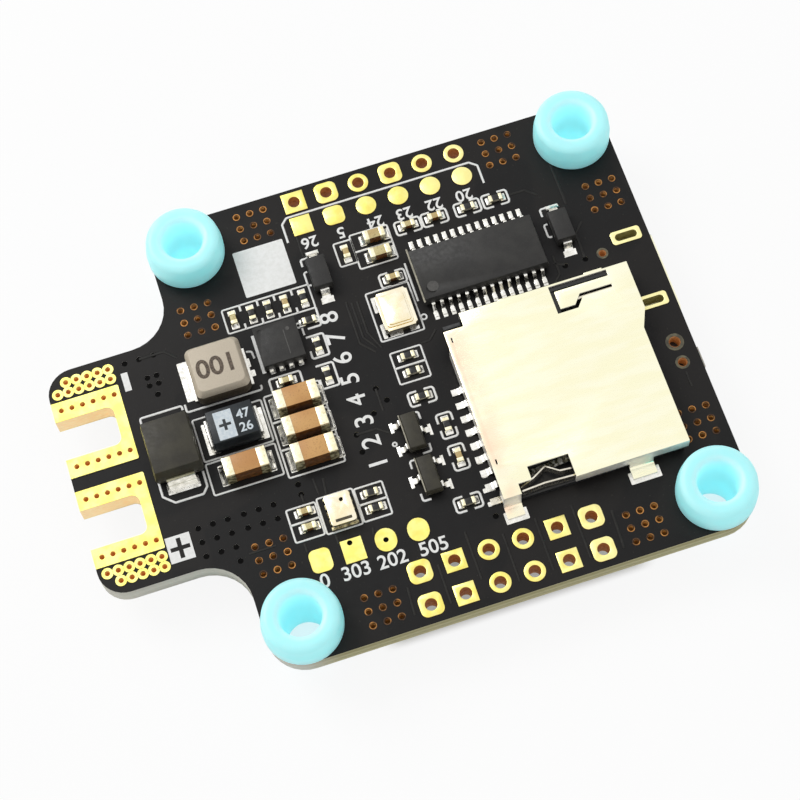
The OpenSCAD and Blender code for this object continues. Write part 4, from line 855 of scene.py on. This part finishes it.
chips = {  # x, y and turn of each
    "small": [
        (-13.4, 8.9, 90), (-9.4, 8.9, 90), (-11.1, 2.85, 0), (-3.9, 11.4, 90), (1.2, 12.1, 0),
        (3.3, 12.1, 0), (-1.2, 8.3, 0), (-1.05, -6.8, 90), (-12.75, -7.3, 0), (-12.75, -8.5, 0),
        (-12, 8.9, 90), (-10.7, 8.9, 90), (-8, 8.9, 90), (-8.1, 7, 0), (-8.1, 4.85, 90),
        (-8.1, 2.35, 90), (5.9, 12.1, 0), (8.1, 12.1, 0), (-2.1, 1.9, 0), (-2.1, 0.6, 0),
        (-2.1, -1.5, 0), (-1.1, -4.2, 90), (-1.5, -10.3, 0), (-7.85, -7.4, 0), (-7.85, -8.6, 0),
    ],
    "under": [
        (8.5, -1.5, 90), (8.5, -4, 90), (-7.2, -7.5, 90), (-7.2, -0.5, 90), (-3.5, 6.4, 0),
        (0.5, 6.4, 0), (4.5, 6.4, 0), (-3.5, -9.4, 0), (4.5, -9.4, 0), (-13.4, 2.4, 90),
        (-12.4, -3.4, 90), (-12.4, -6, 90), (0.5, -9.4, 0), (8.5, -6.5, 90), (9.8, 8.9, 0),
        (7.3, 8.9, 0), (-16.5, 3.4, 90),
    ],
    "middle": [(-1.5, 12, 0), (-1.5, 10.5, 0)],
    "large": [(-15.7, -2.75, 0), (-10.75, 1.05, 0), (-10.75, -1.13, 0), (-10.75, -3.31, 0)],
}
# half length of the part; reach, width and height of its joint
chipSizes = {"small": (0.5, 0.26, 0.5, 0.28), "under": (0.5, 0.26, 0.5, 0.28),
             "middle": (0.8, 0.34, 0.8, 0.5), "large": (1.6, 0.42, 1.55, 0.95)}
regulators = ((-10.5, 9.6), (-4.5, 10.8), (-15.2, -3))
joints = []
for kind, places in chips.items():
    half, reach, width, height = chipSizes[kind]
    for x, y, turn in places:
        for side in (0, 180):
            joints.append(soldered(x, y, turn + side, reach, width, height, kind != "under", half - 0.01))


def leadJoints(x, y, turn, count, pitch, tip, width, top=True):
    # the toes of a row of leads on one side of a body
    spin = math.radians(turn)
    for i in range(count):
        offset = (i - (count - 1) / 2) * pitch
        joints.append(soldered(x - offset * math.sin(spin), y + offset * math.cos(spin), turn,
                               0.24, width, 0.1, top, tip - 0.06))


for turn in (90, 270):
    leadJoints(5.15, 7.4, turn, 14, 0.65, 3.2, 0.34)
for turn in (0, 90, 180, 270):
    leadJoints(0.5, -1.5, turn, 16, 0.5, 6.0, 0.3, False)
for x, y, turn in ((-3.65, -4.1, 0), (-3.55, -7.6, 180)):
    leadJoints(x, y, turn, 1, 1.9, 1.25, 0.9)
    leadJoints(x, y, turn + 180, 2, 1.9, 1.25, 0.8)
for x, y in regulators:
    leadJoints(x, y, 0, 2, 1.9, 1.4, 0.7, False)
    leadJoints(x, y, 180, 3, 0.95, 1.4, 0.6, False)
for x, y in ((-6.3, 10.2), (11.9, 8)):
    for turn in (90, 270):
        joints.append(soldered(x, y, turn, 0.42, 1.0, 0.24, True, 1.84))
solder = weld(merged("solder", joints), 0.00001)
bpy.data.objects.remove(wedge)
done(solder, "solderJoints", ["tin"], smooth=50)
print("solder joints:", len(joints))

# Lands: flat tinned copper that shows round the joints
landThick = 0.025
topLands = []  # middle and size of each
underLands = []
for kind, places in chips.items():
    half, reach, width, height = chipSizes[kind]
    for x, y, turn in places:
        for side in (-1, 1):
            out = side * (half + reach / 2 - 0.06)
            spin = math.radians(turn)
            size = (reach + 0.14, width + 0.08) if turn == 0 else (width + 0.08, reach + 0.14)
            lands = underLands if kind == "under" else topLands
            lands.append((x + out * math.cos(spin), y + out * math.sin(spin), *size))
overlayLeads = [0.925 + 0.65 * i for i in range(14)]
topLands += [(-17.95, 5.2, 0.9, 3.2), (-13.3, 4.3, 0.5, 0.5), (-13.35, 5.2, 0.3, 0.7),
             (-17.55, 0.3, 0.9, 2.5), (-13.9, 0.3, 0.9, 2.5), (-20.4, 2.65, 2.4, 0.8),
             (-20.4, -2.5, 2.4, 0.9)]
topLands += [(0.24, -2.05 - 1.113 * i, 0.42, 0.36) for i in range(7)]
topLands += [(0.2, y, 0.9, 0.34) for y in (-9.85, -10.93)]
topLands += [(-3.1, 6.6, 0.42, 1.3), (-3.05, 4.35, 0.5, 1.2), (-2.4, 3.9, 1.2, 0.36), (-0.9, 3.92, 0.7, 0.3)]
topLands += [(x, 4.0, 0.42, 0.5) for x in (-11.8, -11.08, -10.36, -9.64)]
topLands += [(x, y, 0.34, 0.6) for y in (4.35, 10.45) for x in overlayLeads]
topLands += [(1.4, -12.35, 1.7, 0.9), (11.03, -12.35, 2.3, 0.9)]
landShapes = []
for lands, low in ((topLands, topZ), (underLands, underZ - landThick)):
    outlines = [rectangle(*land, 0.06) for land in lands]
    landShapes += [cutShape("lands", outlines[k::2], low, low + landThick) for k in (0, 1)]
done(merged("lands", landShapes), "solderLands", ["tin"])


# White print on both faces
def chipFrame(x, y, turn, half=0.98, wide=0.56, gap=0.28, radius=0.2):
    # two brackets that face each other round a chip part
    spin = Matrix.Rotation(math.radians(turn), 2)
    strokes = []
    for side in (-1, 1):
        points = [(side * gap, wide, 0), (side * half, wide, radius), (side * half, -wide, radius),
                  (side * gap, -wide, 0)]
        path = [spin @ point for point in rounded(points, False, 3)]
        strokes.append([Vector((x, y)) + point for point in path])
    return strokes


def frameLine(x0, x1, y0, y1, radius=0.12):
    return rounded([(x1, y0, radius), (x1, y1, radius), (x0, y1, radius), (x0, y0, radius)], True, 3)


def line(*points, radius=0.15):
    return rounded([(x, y, radius) for x, y in points], False, 3)


closedFrames = [frameLine(*box) for box in (
    (-18.5, -13.3, -1.3, 2.1), (-18.5, -13.3, -4.0, -1.5), (-13.05, -8.85, -4.45, 2.2),
    (-14.05, -7.35, 7.9, 9.9), (-3.25, -0.3, 9.8, 12.75), (-3.55, -0.25, 3.6, 7.7),
    (-11.7, -9.05, -9.4, -6.6), (-14.0, -11.85, -9.3, -6.75), (-8.95, -6.85, -9.35, -6.75),
    (-3.3, -0.95, -0.1, 2.5), (-4.6, -3.25, 10.45, 12.45),
)]
openLines = [line(*points) for points in (
    ((-13.05, 0), (-8.85, 0)), ((-13.05, -2.25), (-8.85, -2.25)), ((-3.25, 11.27), (-0.3, 11.27)),
    ((-14.0, -7.95), (-11.85, -7.95)), ((-8.95, -8.05), (-6.85, -8.05)), ((-3.3, 1.22), (-0.95, 1.22)),
    ((-18.9, 3.15), (-18.9, 3.5), (-22.06, 3.5), (-22.06, -2.9), (-21.3, -3.6), (-19.2, -3.6),
     (-18.8, -3.1), (-18.8, -1.9)),
    ((-18.65, 3.5), (-18.65, 2.85), (-12.95, 2.85), (-12.95, 3.2)),
    ((-13.25, 6.1), (-12.85, 6.0), (-12.8, 5.4)),
    ((-12.3, 2.3), (-12.3, 3.4), (-9.95, 3.4), (-9.95, 2.3)), ((-8.8, 6.6), (-8.8, 6.0)),
    ((-8.75, 5.75), (-7.45, 5.75), (-7.45, 3.95), (-8.75, 3.95), (-8.75, 4.6)),
    ((-8.75, 3.3), (-7.45, 3.3), (-7.45, 1.4), (-8.75, 1.4), (-8.75, 2.2)),
    ((-7.35, 7.9), (-7.35, 6.4), (-8.4, 6.4)),
    ((-7.75, 13.7), (-7.75, 15.3), (-7.3, 15.75), (7.2, 15.75), (7.75, 15.3), (7.75, 13.7)),
    ((0, 5.9), (0, 9.2)), ((-7.3, 11.4), (-7.3, 12.0), (-6.75, 12.0)),
    ((-7.1, 10.9), (-7.35, 10.9), (-7.35, 9.75), (-7.1, 9.75)),
    ((10.95, 9.5), (10.95, 10.15), (11.8, 10.15)),
    ((11.1, 8.8), (10.82, 8.8), (10.82, 7.7), (11.1, 7.7)),
    ((-2.75, -3.1), (-2.75, -2.5), (-3.3, -2.5)), ((-2.75, -5.1), (-2.75, -5.7), (-3.4, -5.7)),
    ((-4.5, -6.6), (-4.5, -6.0), (-3.9, -6.0)), ((-4.5, -8.6), (-4.5, -9.2), (-3.9, -9.2)),
)]
for index in (4, 5, 16, 17, 6, 20, 21, 7, 22):
    openLines += chipFrame(*chips["small"][index])
for x in (-12.7, -11.35, -10.05, -8.7):  # notches between the five small parts
    openLines += [line((x, 9.9), (x, 9.4)), line((x, 7.9), (x, 8.35))]
ringMarks = [circle(0, 4.55, 0.42, 14), circle(-9, 6.9, 0.36, 14), circle(-5.1, -4.4, 0.3, 12)]
# lift of the lines off the mask, widths of the pens, and thickness of the solid patches
ink = {"lift": 0.005, "framePen": 0.15, "linePen": 0.18, "solid": 0.02}
printZ = topZ + ink["lift"]
underPrintZ = underZ - ink["lift"]
printed = [drawn("frames", closedFrames + ringMarks, printZ, ink["framePen"], closed=True),
           drawn("lines", openLines, printZ, ink["linePen"])]
plus = [(0.72, 0.16), (0.16, 0.16), (0.16, 0.78), (-0.16, 0.78), (-0.16, 0.16), (-0.72, 0.16),
        (-0.72, -0.16), (-0.16, -0.16), (-0.16, -0.78), (0.16, -0.78), (0.16, -0.16), (0.72, -0.16)]
solids = [rectangle(-22.25, 6.65, 0.5, 1.5), rectangle(-21.9, -7, 1.8, 2.0),
          [Vector((-21.88 + x, -7.0 + y)) for x, y in plus], rectangle(-10.05, 12.25, 3.9, 3.9, 0.1),
          rectangle(-12.42, 5.6, 0.3, 3.2, 0.05)]
printed.append(cutShape("solids", solids, topZ, topZ + ink["solid"]))
figures = {"back": 1.3, "front": 1.45, "row": 1.95, "under": 1.3}
for x, text in ((-6.2, "26"), (-3.74, "5"), (-1.03, "24"), (1.23, "23"), (3.61, "22"), (5.98, "20")):
    printed.append(lettered(text, x, 13.26, figures["back"], printZ, math.pi))
for x, text in ((-12.87, "0"), (-10.56, "303"), (-7.89, "202"), (-4.86, "505")):
    printed.append(lettered(text, x, -12.66, figures["front"], printZ))
for k in range(8):  # a plain row of figures, read from the right
    printed.append(lettered(str(k + 1), -6.6, -5.4 + 1.74 * k, figures["row"], printZ, math.pi / 2))

# Under the board: frames round the chips, and numbers beside the power pads
underFrames = [frameLine(-6.2, 7.2, -8.2, 5.2, 0.6), frameLine(-12.2, -8.2, 0.4, 4.4),
               frameLine(-11.6, -7.6, -5.6, -1.2), frameLine(-21.6, -16.8, -0.4, 7.2)]
underFrames += [frameLine(x - 1.75, x + 1.75, y - 1.75, y + 1.75) for x, y in regulators]
underLines = [stroke for place in chips["under"] for stroke in chipFrame(*place)]
underLines += [line((12.6, 7.2), (12.6, -0.9)), line((14.6, -1.7), (14.6, -6.7))]
printed.append(drawn("underFrames", underFrames, underPrintZ, closed=True))
printed.append(drawn("underLines", underLines, underPrintZ))
for number, (x, y) in enumerate(((9.75, 11.6), (-13.4, 12.1), (13.4, -12.2), (-9.75, -11.6)), 1):
    printed.append(lettered(str(number), x, y, figures["under"], underPrintZ))
done(merged("print", printed), "whitePrint", ["silk"])
print("print drawn:", len(printed))

# Marks on the parts
marks = {"inductor": 2.05, "inductorWeight": 0.045, "tantalum": 0.98, "thick": 0.008}
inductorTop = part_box("inductor_body")[1].z / mm
mark = lettered("100", -15.6, 4.95, marks["inductor"], inductorTop, math.pi, marks["thick"],
                marks["inductorWeight"])
done(mark, "inductorMark", ["ink"])
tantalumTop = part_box("tantalum_body")[1].z / mm
band = {"x": -16.28, "y": 0.23, "w": 1.34, "d": 2.22, "arm": 0.44, "half": 0.11, "thick": 0.01}
a, h = band["arm"], band["half"]
plusSign = [Vector((band["x"] + x, band["y"] + y))
            for x, y in ((h, h), (a, h), (a, -h), (h, -h), (h, -a), (-h, -a), (-h, -h), (-a, -h), (-a, h),
                         (-h, h), (-h, a), (h, a))]
plate = rectangle(band["x"], band["y"], band["w"], band["d"], 0.04)
polarity = [cutShape("polarity", [plate, plusSign], tantalumTop, tantalumTop + band["thick"]),
            lettered("47", -14.84, 0.66, marks["tantalum"], tantalumTop, 0, band["thick"]),
            lettered("26", -14.86, -0.38, marks["tantalum"], tantalumTop, 0, band["thick"])]
done(merged("polarity", polarity), "tantalumMark", ["paleInk"])
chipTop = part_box("overlay_chip_body")[1].z / mm
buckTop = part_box("buck_converter_body")[1].z / mm
dimples = [cutShape("dimple", [circle(1.27, 6.19, 0.86, 28)], chipTop, chipTop + 0.01),
           cutShape("dimple", [circle(-9.87, 6.53, 0.3, 16)], buckTop, buckTop + 0.01),
           drawn("step", [line((-10.19, 6.5), (-10.19, 4.5))], buckTop, 0.08, marks["thick"])]
done(merged("dimples", dimples), "chipDimples", ["dimple"])
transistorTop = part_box("transistor_bodies")[1].z / mm
# thin pale lines along the left top edges of the chip and the two transistors: painted highlights on their
# bevels
edges = [drawn("edge", [line((0.32, 9.7), (0.32, 5.1))], chipTop, 0.14, marks["thick"]),
         drawn("edge", [line((-4.2, -6.25), (-4.2, -8.95)), line((-4.3, -2.75), (-4.3, -5.45))],
               transistorTop, 0.1, marks["thick"])]
done(merged("edges", edges), "paintedEdgeHighlights", ["alumina"])
# a dark strip across the lid's top near its front edge: a painted reflection on the lid's front slope
lidLow, lidHigh = [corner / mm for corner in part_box("barometer_lid")]
reflectionY = lidLow.y + 0.32
fold = drawn("fold", [line((lidLow.x + 0.35, reflectionY), (lidHigh.x - 0.3, reflectionY))], lidHigh.z, 0.22, 0.006)
done(fold, "barometerFold", ["tray"])

# Tracks under the mask: low ridges between the pads and the vias
tracks = [line(*points) for points in (
    ((-11.46, -5.0), (-11.4, -6.3)), ((-10.77, -5.2), (-10.9, -6.5)), ((-8.52, -9.9), (-8.6, -10.4)),
    ((-11.16, -9.6), (-11.16, -10.3)), ((-13.44, -9.5), (-13.43, -10.2)),
    ((-7.54, -14.9), (-7.66, -17.0)), ((-2.45, -12.3), (-2.43, -16.0)), ((0.04, -13.3), (0.03, -17.0)),
    ((7.87, -14.1), (7.75, -17.0)), ((5.3, -12.8), (5.3, -17.0)), ((2.55, -12.9), (2.55, -17.0)),
    ((-5.0, -14.0), (-5.0, -17.0)), ((-4.72, 7.4), (-4.72, 4.4), (-4.0, 3.3)),
    ((-4.31, 7.4), (-4.31, 4.7), (-3.7, 3.2)), ((-5.1, 7.6), (-5.1, 4.0), (-4.2, 3.0)),
    ((0.5, 3.3), (-0.2, 2.6), (-0.9, 2.6)), ((9.4, 3.4), (10.6, 4.6), (10.6, 6.2)),
    ((12.8, 5.3), (12.8, 7.4), (13.6, 8.2)), ((11.2, 5.2), (10.4, 5.6)), ((-5.1, 0.2), (-5.1, -1.6)),
    ((-7.5, -2.8), (-6.0, -2.8), (-5.2, -3.4)), ((-20.9, 8.1), (-19.0, 8.1), (-18.2, 7.3)),
    ((-17.4, -9.0), (-15.4, -9.0)), ((-12.6, -5.9), (-12.6, -6.5)), ((-7.0, 12.2), (-7.0, 14.0)),
    ((13.0, 10.0), (13.0, 14.0)), ((16.6, -7.0), (16.6, -5.8)),
    ((9.2, 12.1), (10.4, 12.1), (11.2, 11.4)),
)]
done(drawn("tracks", tracks, topZ + 0.002, 0.2, 0.012), "maskedTracks", ["trace"])

# Pale floor and soft studio light
# side and drop in m; where the board's shade ends in x and y, in mm, and under a grommet's hole, in mm2
floorSize = {"side": 1.6, "drop": 0.00003, "shine": 0.9, "shade": 0.7,
             "shadeEnds": ((8.5, 10.5), (17.0, 17.9)), "holeEnds": (3.0, 3.7), "holeShade": 0.5}
bpy.ops.object.select_all(action="DESELECT")
bpy.ops.mesh.primitive_plane_add(size=floorSize["side"], location=(0, 0, -floorSize["drop"]))
floor = bpy.context.object
floor.name = "floor"
floorPaint = Paint(bpy.data.materials.new("paleFloor"))
tree = floorPaint.tree
shader = tree.nodes["Principled BSDF"]
shader.inputs["Roughness"].default_value = 0.9
paper = blotches((249, 249, 249), (252, 252, 252), 60)
floorPaint.feed(shader.inputs["Base Color"], paper(floorPaint))
cameraRay = floorPaint.node("ShaderNodeLightPath", output="Is Camera Ray")
glow = floorPaint.node("ShaderNodeEmission", {}, {"Color": (1, 1, 1, 1), "Strength": 1.0})
blend = tree.nodes.new("ShaderNodeMixShader")
# painted shadow: the floor's camera glow is dimmed by place, under the board and round the grommet holes, so
# the floor's own shading shows there
across, along = [1 - floorPaint.step(floorPaint.span(name), low * mm, high * mm)
                 for name, (low, high) in zip("XY", floorSize["shadeEnds"])]
atHoles = 1 - floorPaint.step(floorPaint.cornerSpan(mountAt), *floorSize["holeEnds"])
paintedShadow = across * along + atHoles * floorSize["holeShade"]
floorPaint.feed(blend.inputs[0], cameraRay * (1 - paintedShadow * floorSize["shade"]) * floorSize["shine"])
tree.links.new(shader.outputs[0], blend.inputs[1])
tree.links.new(glow.socket, blend.inputs[2])
tree.links.new(blend.outputs[0], tree.nodes["Material Output"].inputs[0])
floor.data.materials.append(floorPaint.owner)

studio = {"fill": 0.5, "seen": 1.0, "aim": (-0.004, 0, 0.004)}
scene.world = bpy.data.worlds.new("studio")
sky = Paint(scene.world)
rays = [sky.node("ShaderNodeLightPath", output=kind)
        for kind in ("Is Camera Ray", "Is Glossy Ray", "Is Transmission Ray")]
seen = sky.node("ShaderNodeMath", {"operation": "MINIMUM"}, {0: rays[0] + rays[1] + rays[2], 1: 1.0})
backdrop = sky.tree.nodes["Background"]
backdrop.inputs["Color"].default_value = (1, 1, 1, 1)
sky.feed(backdrop.inputs["Strength"], studio["fill"] + (studio["seen"] - studio["fill"]) * seen)

lamps = {
    "key": {"place": (-0.18, 0.20, 0.27), "size": 0.20, "radiance": 5.0},
    "side": {"place": (0.20, -0.14, 0.16), "size": 0.12, "radiance": 0.8},
}
for name, lamp in lamps.items():
    light = bpy.data.lights.new(name, "AREA")
    light.size = lamp["size"]
    light.energy = math.pi * lamp["size"] ** 2 * lamp["radiance"]
    holder = bpy.data.objects.new(name, light)
    holder.location = lamp["place"]
    beam = Vector(studio["aim"]) - Vector(lamp["place"])
    holder.rotation_euler = beam.to_track_quat("-Z", "Y").to_euler()
    scene.collection.objects.link(holder)
print("stage lit")
